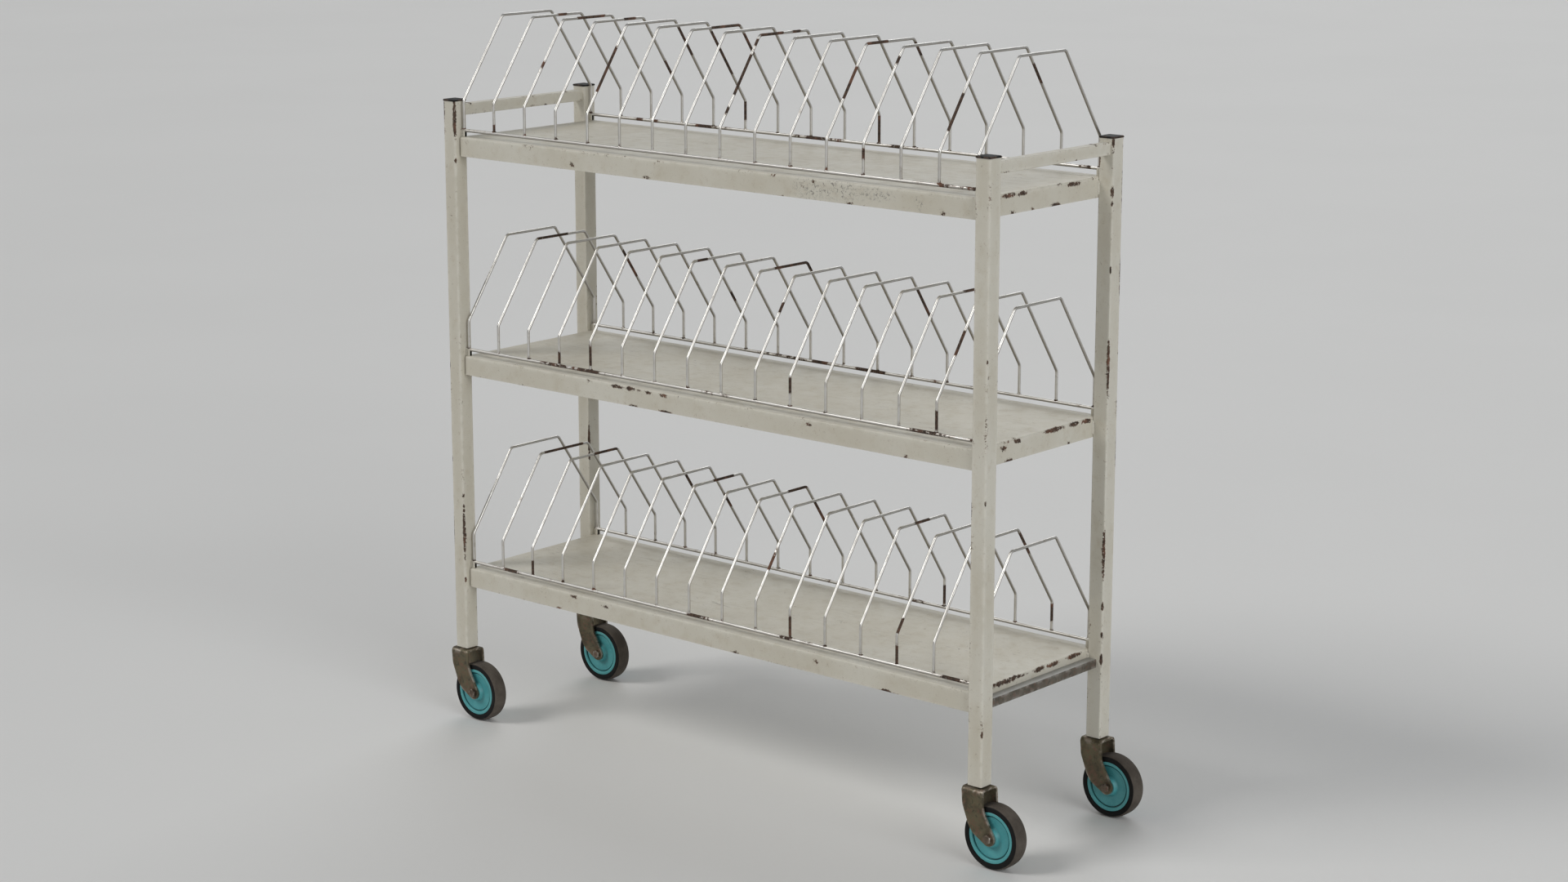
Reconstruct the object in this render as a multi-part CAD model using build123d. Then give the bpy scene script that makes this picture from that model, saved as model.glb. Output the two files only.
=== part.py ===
from build123d import *
import os

# Trolley with three pressed trays between four square posts. Each tray carries a wire rack of
# hoops that hold binders upright, and the trolley stands on four swivel casters.
#
# Row frame: millimetres, +Z up, the length along X and the front towards -Y. The origin lies on
# the floor, midway between the four wheels. At rest every caster trails towards +X, so the
# frame's own centre lies one caster trail behind the origin, towards -X.

# ---- Driving dimensions ---------------------------------------------------------------------

# Posts and overall size
FRAME_LENGTH = 1290.6       # over the posts, along X
FRAME_DEPTH = 378.2         # over the posts, along Y
POST_SIZE = 30.0            # outer side of the square tube
POST_WALL = 2.0
POST_CORNER = 2.2           # outer corner radius of the tube
POST_BOTTOM = 142.0         # above the floor
POST_HEIGHT = 1072.0

# Post caps
CAP_OVERHANG = 1.4          # how far the cap stands out past the tube
CAP_THICKNESS = 3.4
CAP_PLUG_DEPTH = 14.0
CAP_PLUG_WALL = 2.5

# Trays
TRAY_PITCH = 421.5
TRAY_BOTTOM_SURFACE = 304.0     # top surface of the lowest tray, above the floor
TRAY_DEPTH = 359.0              # over the front and rear flanges
TRAY_FLANGE = 37.0
TRAY_SHEET = 1.6
TRAY_BEND = 3.6                 # outer radius of the bends along the top edges
TRAY_CORNER = 5.5               # outer radius of the upright corners

# Wire racks
HOOP_COUNT = 16
HOOP_PITCH = 81.1
HOOP_WIRE = 5.2                 # wire diameter
HOOP_BEND = 11.0                # radius at the middle of the wire
HOOP_FOOT_Y = 171.5             # the legs and the long rods stand this far from the middle
HOOP_SHOULDER_RISE = 68.0       # top of the upright legs, above the tray
HOOP_TOP_Y = 65.0               # half the length of the level top, corner to corner
HOOP_TOP_RISE = 222.0           # wire centre of the level top, above the tray
ROD_WIRE = 6.2                  # diameter of the long rods
ROD_RISE = 12.0                 # rod centre above the tray
SEAT_LENGTH = 11.0              # block under each rod end
SEAT_WIDTH = 7.0

# End rails and lower end bars
RAIL_WIDTH = 16.4
RAIL_HEIGHT = 21.6
RAIL_WALL = 1.5
RAIL_CORNER = 1.8
RAIL_TOP_BELOW_POST_TOP = 7.0
BAR_HEIGHT = 16.0
BAR_BOTTOM = 272.0              # above the floor
BAR_OUTER_INSET = 11.3          # outer face, in from the posts' outer faces
BAR_WALL = 1.6

# Casters
WHEEL_RADIUS = 57.5
CASTER_TRAIL = 36.0             # axle behind the kingpin
TYRE_WIDTH = 31.0
TYRE_BORE = 45.5                # radius at which the tyre sits on the hub
TYRE_SIDE = 52.0                # radius at which the flat side ends and the crown begins
TYRE_CROWN_FLAT = 9.0           # width of the level middle of the tread
HUB_RIM_WIDTH = 29.6
HUB_RING = 38.8                 # inner radius of the raised rim ring
HUB_GROOVE = 36.8               # inner radius of the groove beside it
HUB_GROOVE_WIDTH = 20.0
HUB_WEB_WIDTH = 24.0
HUB_BOSS = 15.0                 # boss radius
HUB_BOSS_WIDTH = 35.2
BUSH_RADIUS = 6.5
AXLE_RADIUS = 4.0
AXLE_HEAD_ACROSS = 15.0         # across the flats, bolt head and nut
AXLE_HEAD_HEIGHT = 5.2
AXLE_NUT_HEIGHT = 6.5
AXLE_THREAD_PAST_NUT = 2.5
RUNNING_CLEARANCE = 0.05        # radial, shafts in their bearings
SIDE_CLEARANCE = 0.4            # between faces that turn past each other
FORK_WIDTH = 44.0
FORK_SHEET = 4.0
FORK_BEND = 8.0                 # outer radius of the crown's two bends
FORK_EYE = 13.0                 # radius of the rounded end at the axle
KINGPIN_RADIUS = 5.0
KINGPIN_HEAD_RADIUS = 10.0
KINGPIN_HEAD_HEIGHT = 6.0
WASHER_RADIUS = 14.0
WASHER_THICKNESS = 1.4
INSERT_HEIGHT = 42.0
PRESS_GAP = 0.05                # play left round plugs that fit in the tube

# ---- Worked-out places ----------------------------------------------------------------------

FRAME_X = -CASTER_TRAIL
POST_X = (FRAME_LENGTH - POST_SIZE) / 2
POST_Y = (FRAME_DEPTH - POST_SIZE) / 2
POST_TOP = POST_BOTTOM + POST_HEIGHT
CLEAR_LENGTH = FRAME_LENGTH - 2 * POST_SIZE     # between the left and right posts
CLEAR_DEPTH = FRAME_DEPTH - 2 * POST_SIZE       # between the front and rear posts
TUBE_BORE = POST_SIZE - 2 * POST_WALL

CROWN_TOP = POST_BOTTOM - WASHER_THICKNESS - SIDE_CLEARANCE
CROWN_UNDERSIDE = CROWN_TOP - FORK_SHEET

LEVELS = {"bottom": 0, "middle": 1, "top": 2}
ENDS = {"left": -1, "right": 1}
SIDES = {"front": -1, "rear": 1}


def tray_surface(level):
    return TRAY_BOTTOM_SURFACE + LEVELS[level] * TRAY_PITCH


def write(name, shape):
    export_step(shape, f"parts/{name}.step")


def group(solids):
    return Compound(children=list(solids))


def square_tube(side_x, side_y, length, wall, corner):
    """Upright tube with rounded corners, standing on z = 0."""
    outer = extrude(RectangleRounded(side_x, side_y, corner), length)
    bore = RectangleRounded(side_x - 2 * wall, side_y - 2 * wall, max(corner - wall, 0.4))
    return outer - extrude(bore, length)


def rod_along_x(radius, length):
    return Rot(0, 90, 0) * Cylinder(radius, length)


def pin_along_y(radius, y_low, y_high):
    """Cylinder about the Y axis from y_low to y_high."""
    return Pos(0, (y_low + y_high) / 2, 0) * (Rot(90, 0, 0) * Cylinder(radius, y_high - y_low))


# ---- Frame ----------------------------------------------------------------------------------

def post():
    return square_tube(POST_SIZE, POST_SIZE, POST_HEIGHT, POST_WALL, POST_CORNER)


def post_cap():
    """Flat cap with softened edges and a hollow square plug, its flange resting on z = 0."""
    side = POST_SIZE + 2 * CAP_OVERHANG
    flange = extrude(RectangleRounded(side, side, POST_CORNER + CAP_OVERHANG), CAP_THICKNESS)
    flange = fillet(flange.faces().sort_by(Axis.Z)[-1].edges(), 1.2)
    plug_side = TUBE_BORE - 2 * PRESS_GAP
    plug = Rot(180, 0, 0) * square_tube(plug_side, plug_side, CAP_PLUG_DEPTH, CAP_PLUG_WALL, 0.8)
    return flange + plug


def end_rail():
    """Rectangular tube along Y between a front and a rear post, centred on the origin."""
    tube = square_tube(RAIL_WIDTH, RAIL_HEIGHT, CLEAR_DEPTH, RAIL_WALL, RAIL_CORNER)
    return Pos(0, CLEAR_DEPTH / 2, 0) * (Rot(90, 0, 0) * tube)


def lower_end_bar():
    """Rectangular tube along Y that fills the step outside the tray's end flange."""
    width = POST_SIZE - BAR_OUTER_INSET
    tube = square_tube(width, BAR_HEIGHT, CLEAR_DEPTH, BAR_WALL, 1.2)
    return Pos(0, CLEAR_DEPTH / 2, 0) * (Rot(90, 0, 0) * tube)


def tray():
    """Sheet tray, open below, with its top surface at z = 0."""
    def block(inset, top_radius, corner, height):
        plan = RectangleRounded(CLEAR_LENGTH - 2 * inset, TRAY_DEPTH - 2 * inset, corner)
        solid = Pos(0, 0, -TRAY_FLANGE) * extrude(plan, height)
        return fillet(solid.faces().sort_by(Axis.Z)[-1].edges(), top_radius)

    outside = block(0, TRAY_BEND, TRAY_CORNER, TRAY_FLANGE)
    hollow = block(TRAY_SHEET, TRAY_BEND - TRAY_SHEET, TRAY_CORNER - TRAY_SHEET,
                   TRAY_FLANGE - TRAY_SHEET)
    return outside - hollow


# ---- Wire rack, with the tray's surface at z = 0 -----------------------------------------------

def rod_pair():
    return [Pos(0, side * HOOP_FOOT_Y, ROD_RISE) * rod_along_x(ROD_WIRE / 2, CLEAR_LENGTH)
            for side in SIDES.values()]


def hoop():
    """One bent wire in the YZ plane. Its ends are coped to sit on the two rods."""
    right = [(HOOP_TOP_Y, HOOP_TOP_RISE), (HOOP_FOOT_Y, HOOP_SHOULDER_RISE), (HOOP_FOOT_Y, ROD_RISE)]
    left = [(-y, z) for y, z in reversed(right)]
    corners = [Vector(0, y, z) for y, z in left + right]
    path = FilletPolyline(*corners, radius=HOOP_BEND)
    section = Plane(origin=path @ 0, z_dir=path % 0) * Circle(HOOP_WIRE / 2)
    wire = sweep(section, path=path)
    for rod in rod_pair():
        wire -= rod
    return wire


def hoops():
    one = hoop()
    first = -(HOOP_COUNT - 1) / 2
    return group(Pos((first + i) * HOOP_PITCH, 0, 0) * one for i in range(HOOP_COUNT))


def rod_seats():
    """Four small blocks on the tray, grooved for the rods' ends and set against the posts."""
    rods = rod_pair()
    blocks = []
    for end in ENDS.values():
        for side in SIDES.values():
            x = end * (CLEAR_LENGTH - SEAT_LENGTH) / 2
            block = Pos(x, side * HOOP_FOOT_Y, ROD_RISE / 2) * Box(SEAT_LENGTH, SEAT_WIDTH, ROD_RISE)
            for rod in rods:
                block -= rod
            blocks.append(block)
    return group(blocks)


# ---- Casters, with the kingpin's axis on the Z axis and true heights ------------------------------

def caster_insert():
    """Block in the foot of the tube, bored for the kingpin."""
    side = TUBE_BORE - 2 * PRESS_GAP
    body = extrude(RectangleRounded(side, side, 0.8), INSERT_HEIGHT)
    return Pos(0, 0, POST_BOTTOM) * (body - extrude(Circle(KINGPIN_RADIUS), INSERT_HEIGHT))


def thrust_washer():
    ring = Circle(WASHER_RADIUS) - Circle(KINGPIN_RADIUS)
    return Pos(0, 0, POST_BOTTOM - WASHER_THICKNESS) * extrude(ring, WASHER_THICKNESS)


def kingpin():
    """Headed pin: the head hangs under the fork's crown and the shank fills the insert."""
    head_top = CROWN_UNDERSIDE - SIDE_CLEARANCE
    head = Pos(0, 0, head_top - KINGPIN_HEAD_HEIGHT) * extrude(Circle(KINGPIN_HEAD_RADIUS),
                                                               KINGPIN_HEAD_HEIGHT)
    head = fillet(head.faces().sort_by(Axis.Z)[0].edges(), 3.0)
    shank_length = POST_BOTTOM + INSERT_HEIGHT - head_top
    return head + Pos(0, 0, head_top) * extrude(Circle(KINGPIN_RADIUS), shank_length)


def fork():
    """Strip bent to an inverted U: a level crown and two legs that sweep back to the axle."""
    top = CROWN_TOP
    eye_x, eye_z = CASTER_TRAIL, WHEEL_RADIUS
    half = FORK_WIDTH / 2
    leading_edge = [(-half, top), (-half + 2.5, top - 31), (-half + 16, top - 66),
                    (-half + 25.5, top - 79), (eye_x - 6.5, eye_z - 11.26)]
    trailing_edge = [(eye_x + 11.3, eye_z + 6.42), (half + 2.3, top - 36), (half, top)]
    outline = make_face(Polyline(*leading_edge, (eye_x, eye_z), *trailing_edge, close=True))
    bends = {leading_edge[1]: 40, leading_edge[2]: 40, leading_edge[3]: 16, trailing_edge[1]: 40}
    for corner, radius in bends.items():
        vertex = outline.vertices().sort_by_distance(Vector(*corner))[0]
        outline = fillet(vertex, radius)
    outline += Pos(eye_x, eye_z) * Circle(FORK_EYE)
    side_view = Plane.XZ.offset(-half) * outline
    sweep_back = extrude(side_view, FORK_WIDTH)

    def bent_section(width, z_high, radius):
        """Upright section with its two upper corners rounded, from below the eyes to z_high."""
        face = Rectangle(width, 2 * top)
        face = fillet(face.vertices().group_by(Axis.Y)[-1], radius)
        return Pos(0, z_high - top) * face

    channel = bent_section(FORK_WIDTH, top, FORK_BEND) - bent_section(
        FORK_WIDTH - 2 * FORK_SHEET, CROWN_UNDERSIDE, FORK_BEND - FORK_SHEET)
    channel = extrude(Plane.YZ.offset(-FORK_WIDTH) * channel, 3 * FORK_WIDTH)

    body = sweep_back & channel
    body -= Pos(0, 0, top) * Cylinder(KINGPIN_RADIUS + RUNNING_CLEARANCE, 4 * FORK_SHEET)
    return body - Pos(eye_x, 0, eye_z) * pin_along_y(AXLE_RADIUS, -FORK_WIDTH, FORK_WIDTH)


def hexagon_prism(height):
    across_corners = AXLE_HEAD_ACROSS / 3 ** 0.5
    return extrude(RegularPolygon(across_corners, 6), height)


def chamfered_hexagon(height):
    """Hexagon prism whose top corners are turned off at 30 degrees."""
    corner_radius = AXLE_HEAD_ACROSS / 3 ** 0.5
    flat_radius = AXLE_HEAD_ACROSS / 2 * 0.96
    drop = (corner_radius - flat_radius) * 0.577
    crown = Pos(0, 0, height / 2) * Cylinder(corner_radius, height)
    crown = chamfer(crown.faces().sort_by(Axis.Z)[-1].edges(), length=drop,
                    length2=corner_radius - flat_radius)
    return hexagon_prism(height) & crown


def axle_bolt():
    """Hex-headed bolt along Y, its head outside the front leg, centred on the axle."""
    half = FORK_WIDTH / 2
    head = Pos(0, -half, 0) * (Rot(90, 0, 0) * chamfered_hexagon(AXLE_HEAD_HEIGHT))
    tip = half + AXLE_NUT_HEIGHT + AXLE_THREAD_PAST_NUT
    shank = pin_along_y(AXLE_RADIUS, -half, tip)
    shank = chamfer(shank.faces().sort_by(Axis.Y)[-1].edges(), 0.8)
    return head + shank


def axle_nut():
    nut = Rot(-90, 0, 0) * chamfered_hexagon(AXLE_NUT_HEIGHT)
    bore = pin_along_y(AXLE_RADIUS, -1, AXLE_NUT_HEIGHT + 1)
    return Pos(0, FORK_WIDTH / 2, 0) * (nut - bore)


def turned(points, radii=None):
    """Solid turned about the Y axis from (radius, y) points."""
    face = make_face(Polyline(*points, close=True))
    for corner, radius in (radii or {}).items():
        face = fillet(face.vertices().sort_by_distance(Vector(*corner))[0], radius)
    return revolve(face, Axis.Y)


def mirrored(half_profile):
    """Half profile from the middle plane outwards, completed by its mirror image."""
    return half_profile + [(r, -y) for r, y in reversed(half_profile)]


def wheel_hub():
    rim = HUB_RIM_WIDTH / 2
    web = HUB_WEB_WIDTH / 2
    groove = HUB_GROOVE_WIDTH / 2
    boss = HUB_BOSS_WIDTH / 2
    side = [(TYRE_BORE, rim), (HUB_RING, rim), (HUB_RING, groove), (HUB_GROOVE, groove),
            (HUB_GROOVE, web), (HUB_BOSS + 3, web - 1.5), (HUB_BOSS, boss), (BUSH_RADIUS, boss)]
    ring_edge = {(TYRE_BORE, rim): 1.2, (HUB_RING, rim): 1.6, (HUB_BOSS, boss): 1.5}
    radii = {}
    for (r, y), radius in ring_edge.items():
        radii[(r, y)] = radius
        radii[(r, -y)] = radius
    return turned(mirrored(side), radii)


def hub_bush():
    half = HUB_BOSS_WIDTH / 2
    tube = pin_along_y(BUSH_RADIUS, -half, half)
    return tube - pin_along_y(AXLE_RADIUS + RUNNING_CLEARANCE, -half - 1, half + 1)


def tyre():
    """Solid tyre: flat sides, then an elliptical crown with a narrow level middle."""
    half = TYRE_WIDTH / 2
    flat = TYRE_CROWN_FLAT / 2
    rim = HUB_RIM_WIDTH / 2
    side = Line((TYRE_BORE, rim), (TYRE_SIDE - 2, half))
    wall = Line((TYRE_SIDE - 2, half), (TYRE_SIDE, half))
    crown = Spline((TYRE_SIDE, half), (WHEEL_RADIUS - 2.2, half * 0.69), (WHEEL_RADIUS, flat),
                   tangents=[(1, 0), (0, -1)])
    level = Line((WHEEL_RADIUS, flat), (WHEEL_RADIUS, 0))
    seat = Line((TYRE_BORE, 0), (TYRE_BORE, rim))
    half_section = make_face([side, wall, crown, level, Line((WHEEL_RADIUS, 0), (TYRE_BORE, 0)), seat])
    section = half_section + mirror(half_section, Plane.XZ)
    return revolve(section, Axis.Y)


# ---- Assembly -------------------------------------------------------------------------------

def write_frame():
    one_post = post()
    one_cap = post_cap()
    for side_name, side in SIDES.items():
        for end_name, end in ENDS.items():
            at = Pos(FRAME_X + end * POST_X, side * POST_Y, 0)
            write(f"post_{side_name}_{end_name}", at * Pos(0, 0, POST_BOTTOM) * one_post)
            write(f"post_cap_{side_name}_{end_name}", at * Pos(0, 0, POST_TOP) * one_cap)

    rail_z = POST_TOP - RAIL_TOP_BELOW_POST_TOP - RAIL_HEIGHT / 2
    bar_x = (CLEAR_LENGTH + POST_SIZE - BAR_OUTER_INSET) / 2
    for end_name, end in ENDS.items():
        write(f"top_end_rail_{end_name}", Pos(FRAME_X + end * POST_X, 0, rail_z) * end_rail())
        write(f"lower_end_bar_{end_name}",
              Pos(FRAME_X + end * bar_x, 0, BAR_BOTTOM + BAR_HEIGHT / 2) * lower_end_bar())


def write_trays_and_racks():
    one_tray = tray()
    one_set_of_hoops = hoops()
    one_pair_of_rods = group(rod_pair())
    one_set_of_seats = rod_seats()
    for level in LEVELS:
        at = Pos(FRAME_X, 0, tray_surface(level))
        write(f"tray_{level}", at * one_tray)
        write(f"hoops_{level}", at * one_set_of_hoops)
        write(f"rack_rods_{level}", at * one_pair_of_rods)
        write(f"rod_seats_{level}", at * one_set_of_seats)


def write_casters():
    upright_parts = {"caster_insert": caster_insert(), "thrust_washer": thrust_washer(),
                     "kingpin": kingpin(), "caster_fork": fork()}
    axle_parts = {"axle_bolt": axle_bolt(), "axle_nut": axle_nut(), "wheel_hub": wheel_hub(),
                  "hub_bush": hub_bush(), "tyre": tyre()}
    for side_name, side in SIDES.items():
        for end_name, end in ENDS.items():
            at = Pos(FRAME_X + end * POST_X, side * POST_Y, 0)
            for name, shape in upright_parts.items():
                write(f"{name}_{side_name}_{end_name}", at * shape)
            for name, shape in axle_parts.items():
                place = at * Pos(CASTER_TRAIL, 0, WHEEL_RADIUS)
                write(f"{name}_{side_name}_{end_name}", place * shape)


os.makedirs("parts", exist_ok=True)
write_frame()
write_trays_and_racks()
write_casters()
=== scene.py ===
import math
import random

import bmesh
import bpy
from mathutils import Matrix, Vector, noise


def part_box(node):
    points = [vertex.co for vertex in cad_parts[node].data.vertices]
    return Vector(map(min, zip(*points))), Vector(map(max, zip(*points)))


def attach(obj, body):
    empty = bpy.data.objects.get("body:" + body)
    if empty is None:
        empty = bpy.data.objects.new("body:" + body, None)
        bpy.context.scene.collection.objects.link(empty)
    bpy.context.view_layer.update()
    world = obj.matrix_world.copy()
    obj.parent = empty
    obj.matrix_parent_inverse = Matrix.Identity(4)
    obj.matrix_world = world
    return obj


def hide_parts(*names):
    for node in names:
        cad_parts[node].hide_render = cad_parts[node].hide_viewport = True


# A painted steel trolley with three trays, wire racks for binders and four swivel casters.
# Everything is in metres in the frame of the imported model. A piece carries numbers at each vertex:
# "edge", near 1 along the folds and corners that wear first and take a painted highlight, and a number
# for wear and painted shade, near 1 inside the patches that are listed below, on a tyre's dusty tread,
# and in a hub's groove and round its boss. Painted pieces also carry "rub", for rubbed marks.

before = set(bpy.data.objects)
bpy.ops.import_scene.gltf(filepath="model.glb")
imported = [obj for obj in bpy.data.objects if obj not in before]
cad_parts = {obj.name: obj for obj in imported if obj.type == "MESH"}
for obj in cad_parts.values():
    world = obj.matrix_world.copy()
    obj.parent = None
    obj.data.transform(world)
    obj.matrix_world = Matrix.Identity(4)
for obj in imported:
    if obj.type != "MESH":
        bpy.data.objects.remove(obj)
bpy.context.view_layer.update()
random.seed(7)

MM = 0.001
SIDES = {"front": -1, "rear": 1}
ENDS = {"left": -1, "right": 1}
LEVELS = ("bottom", "middle", "top")
CORNERS = [f"{side}_{end}" for side in SIDES for end in ENDS]

# ---- Measures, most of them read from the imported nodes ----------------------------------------


def middle_of(node):
    low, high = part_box(node)
    return (low + high) / 2


def size_of(node):
    low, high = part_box(node)
    return high - low


FRAME_X = (middle_of("post_front_left").x + middle_of("post_front_right").x) / 2
POST_SIZE = size_of("post_front_left").x
POST_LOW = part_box("post_front_left")[0].z
POST_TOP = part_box("post_front_left")[1].z
POST_CORNER = 2.2 * MM
POST_WALL = 2.0 * MM
CAP_SIZE = size_of("post_cap_front_left").x
CAP_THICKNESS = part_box("post_cap_front_left")[1].z - POST_TOP
TRAY_LENGTH = size_of("tray_top").x
TRAY_DEPTH = size_of("tray_top").y
TRAY_FLANGE = size_of("tray_top").z
TRAY_SHEET = 1.6 * MM
TRAY_BEND = 3.6 * MM
TRAY_CORNER = 5.5 * MM
ROD_RADIUS = 3.1 * MM
HOOP_RADIUS = 2.6 * MM
HOOP_COUNT = 16
HOOP_PITCH = (size_of("hoops_top").x - 2 * HOOP_RADIUS) / (HOOP_COUNT - 1)
HOOP_FOOT_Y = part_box("hoops_top")[1].y - HOOP_RADIUS
HOOP_TOP_Y = 65.0 * MM
HOOP_SHOULDER_RISE = 68.0 * MM
HOOP_BEND = 11.0 * MM
SEAT_LENGTH = 11.0 * MM
SEAT_WIDTH = 7.0 * MM
WHEEL_RADIUS = size_of("tyre_front_left").z / 2
TYRE_BORE = 45.5 * MM
TYRE_SIDE = 52.0 * MM
HUB_RIM_Y = 14.8 * MM
HEXAGON_APOTHEM = 7.5 * MM
AXLE_RADIUS = 4.0 * MM
THREAD_PITCH = 0.56 * MM
KINGPIN_RADIUS = 5.0 * MM
KINGPIN_HEAD = 6.0 * MM
FORK_SHEET = 4.0 * MM
FORK_BEND = 8.0 * MM
FORK_HALF_LENGTH = 22.0 * MM
FORK_EYE = 13.0 * MM
FORK_EMBOSS = 1.0 * MM


def tray_surface(level):
    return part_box(f"tray_{level}")[1].z


def rod_height(level):
    return middle_of(f"rack_rods_{level}").z


# ---- Wear that has a place of its own ----------------------------------------------------------

# Chips along the posts' upright corners: post, corner (x, y), low and high above its foot, reach.
POST_CHIPS = [
    ("front_left", 1, -1, 1.005, 1.074, 4.6),
    ("front_left", -1, -1, 1.034, 1.074, 3.4),
    ("front_left", 1, -1, 0.180, 0.290, 4.3),
    ("front_left", 1, -1, 0.305, 0.310, 3.2),
    ("front_left", 1, -1, 0.957, 0.963, 3.0),
    ("front_left", 1, -1, 0.136, 0.143, 3.0),
    ("front_left", -1, -1, 0.553, 0.569, 2.6),
    ("front_left", -1, -1, 0.373, 0.384, 2.4),
    ("front_left", -1, -1, 0.198, 0.273, 2.4),
    ("front_right", 1, -1, 0.733, 0.738, 2.6),
    ("front_right", 1, -1, 0.493, 0.499, 2.6),
    ("front_right", -1, -1, 0.465, 0.493, 2.2),
    ("front_right", 1, -1, 0.089, 0.096, 3.0),
    ("rear_right", 1, -1, 0.971, 0.989, 4.6),
    ("rear_right", 1, -1, 0.957, 0.964, 3.2),
    ("rear_right", 1, 1, 0.933, 1.043, 2.6),
    ("rear_right", 1, -1, 1.060, 1.071, 3.6),
    ("rear_right", -1, -1, 1.020, 1.046, 3.0),
    ("rear_right", 1, -1, 0.840, 0.850, 2.6),
    ("rear_right", 1, 1, 0.500, 0.560, 2.6),
    ("rear_right", 1, -1, 0.190, 0.196, 2.8),
    ("rear_right", 1, -1, 0.634, 0.722, 4.0),
    ("rear_right", 1, -1, 0.299, 0.386, 4.2),
    ("rear_right", 1, -1, 0.237, 0.251, 3.4),
    ("rear_right", 1, -1, 0.137, 0.155, 4.0),
    ("rear_right", 1, 1, 0.783, 0.863, 3.4),
    ("rear_right", -1, 1, 0.203, 0.273, 3.4),
    ("rear_left", 1, -1, 0.323, 0.393, 3.2),
    ("rear_left", -1, 1, 1.023, 1.074, 4.0),
    ("rear_left", 1, 1, 0.463, 0.553, 3.6),
]

# Chips on the trays' right end flanges: level, middle along Y, half length, below the surface.
RIGHT_FLANGE_CHIPS = [
    ("top", -98, 19, 5), ("top", -60, 10, 6), ("top", 86, 17, 6), ("top", 124, 3, 5),
    ("top", -86, 5, 36), ("top", 36, 12, 36), ("top", -32, 3, 36),
    ("middle", -101, 8, 12), ("middle", 44, 26, 4), ("middle", 104, 14, 4), ("middle", 140, 12, 5),
    ("middle", -60, 7, 6), ("middle", -86, 8, 36), ("middle", 88, 6, 36),
    ("bottom", -90, 58, 4), ("bottom", 12, 12, 5), ("bottom", 56, 16, 5), ("bottom", 118, 20, 4),
    ("bottom", -60, 6, 36), ("bottom", 108, 9, 36),
]

# Chips on the trays' front flanges: level, middle along X from the frame's middle, half length,
# below the surface.
FRONT_FLANGE_CHIPS = [
    ("top", 492, 3, 34), ("top", 543, 6, 33), ("top", 341, 6, 36), ("top", -128, 8, 34),
    ("top", -316, 4, 28), ("top", 236, 5, 14), ("top", 262, 6, 6),
    ("middle", -209, 14, 5), ("middle", -178, 9, 5), ("middle", -150, 4, 5),
    ("middle", -131, 6, 6), ("middle", -92, 8, 6), ("middle", -169, 9, 36), ("middle", -88, 14, 36),
    ("middle", 250, 5, 10), ("middle", 470, 4, 34),
    ("bottom", -328, 7, 6), ("bottom", -247, 5, 10), ("bottom", -371, 4, 36),
    ("bottom", 79, 6, 35), ("bottom", 272, 5, 14), ("bottom", 430, 9, 36),
]

# The same on the rear flanges and the left end flanges, which nothing shows.
REAR_FLANGE_CHIPS = [
    ("top", -420, 12, 5), ("top", 60, 7, 36), ("top", 380, 16, 5), ("middle", -60, 20, 5),
    ("middle", 300, 8, 36), ("middle", 510, 6, 6), ("bottom", -300, 26, 5), ("bottom", 180, 9, 36),
]
LEFT_FLANGE_CHIPS = [
    ("top", -40, 14, 5), ("top", 96, 8, 36), ("middle", -104, 16, 5), ("middle", 30, 6, 36),
    ("bottom", 70, 30, 5), ("bottom", -80, 9, 36),
]

# Chips on the left end rail: place along Y, and 1 for its upper or -1 for its lower edge. The right
# end rail has the last two.
RAIL_CHIPS = [(-142, 1), (-136, -1), (-128, -1), (-104, -1), (60, -1), (118, 1)]

# Grey rubbed marks on the top tray's front flange: middle along X, half length, below, half height.
FLANGE_RUBS = [(252, 34, 18, 17), (318, 60, 15, 15), (404, 34, 15, 10), (492, 8, 22, 12)]

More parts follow.
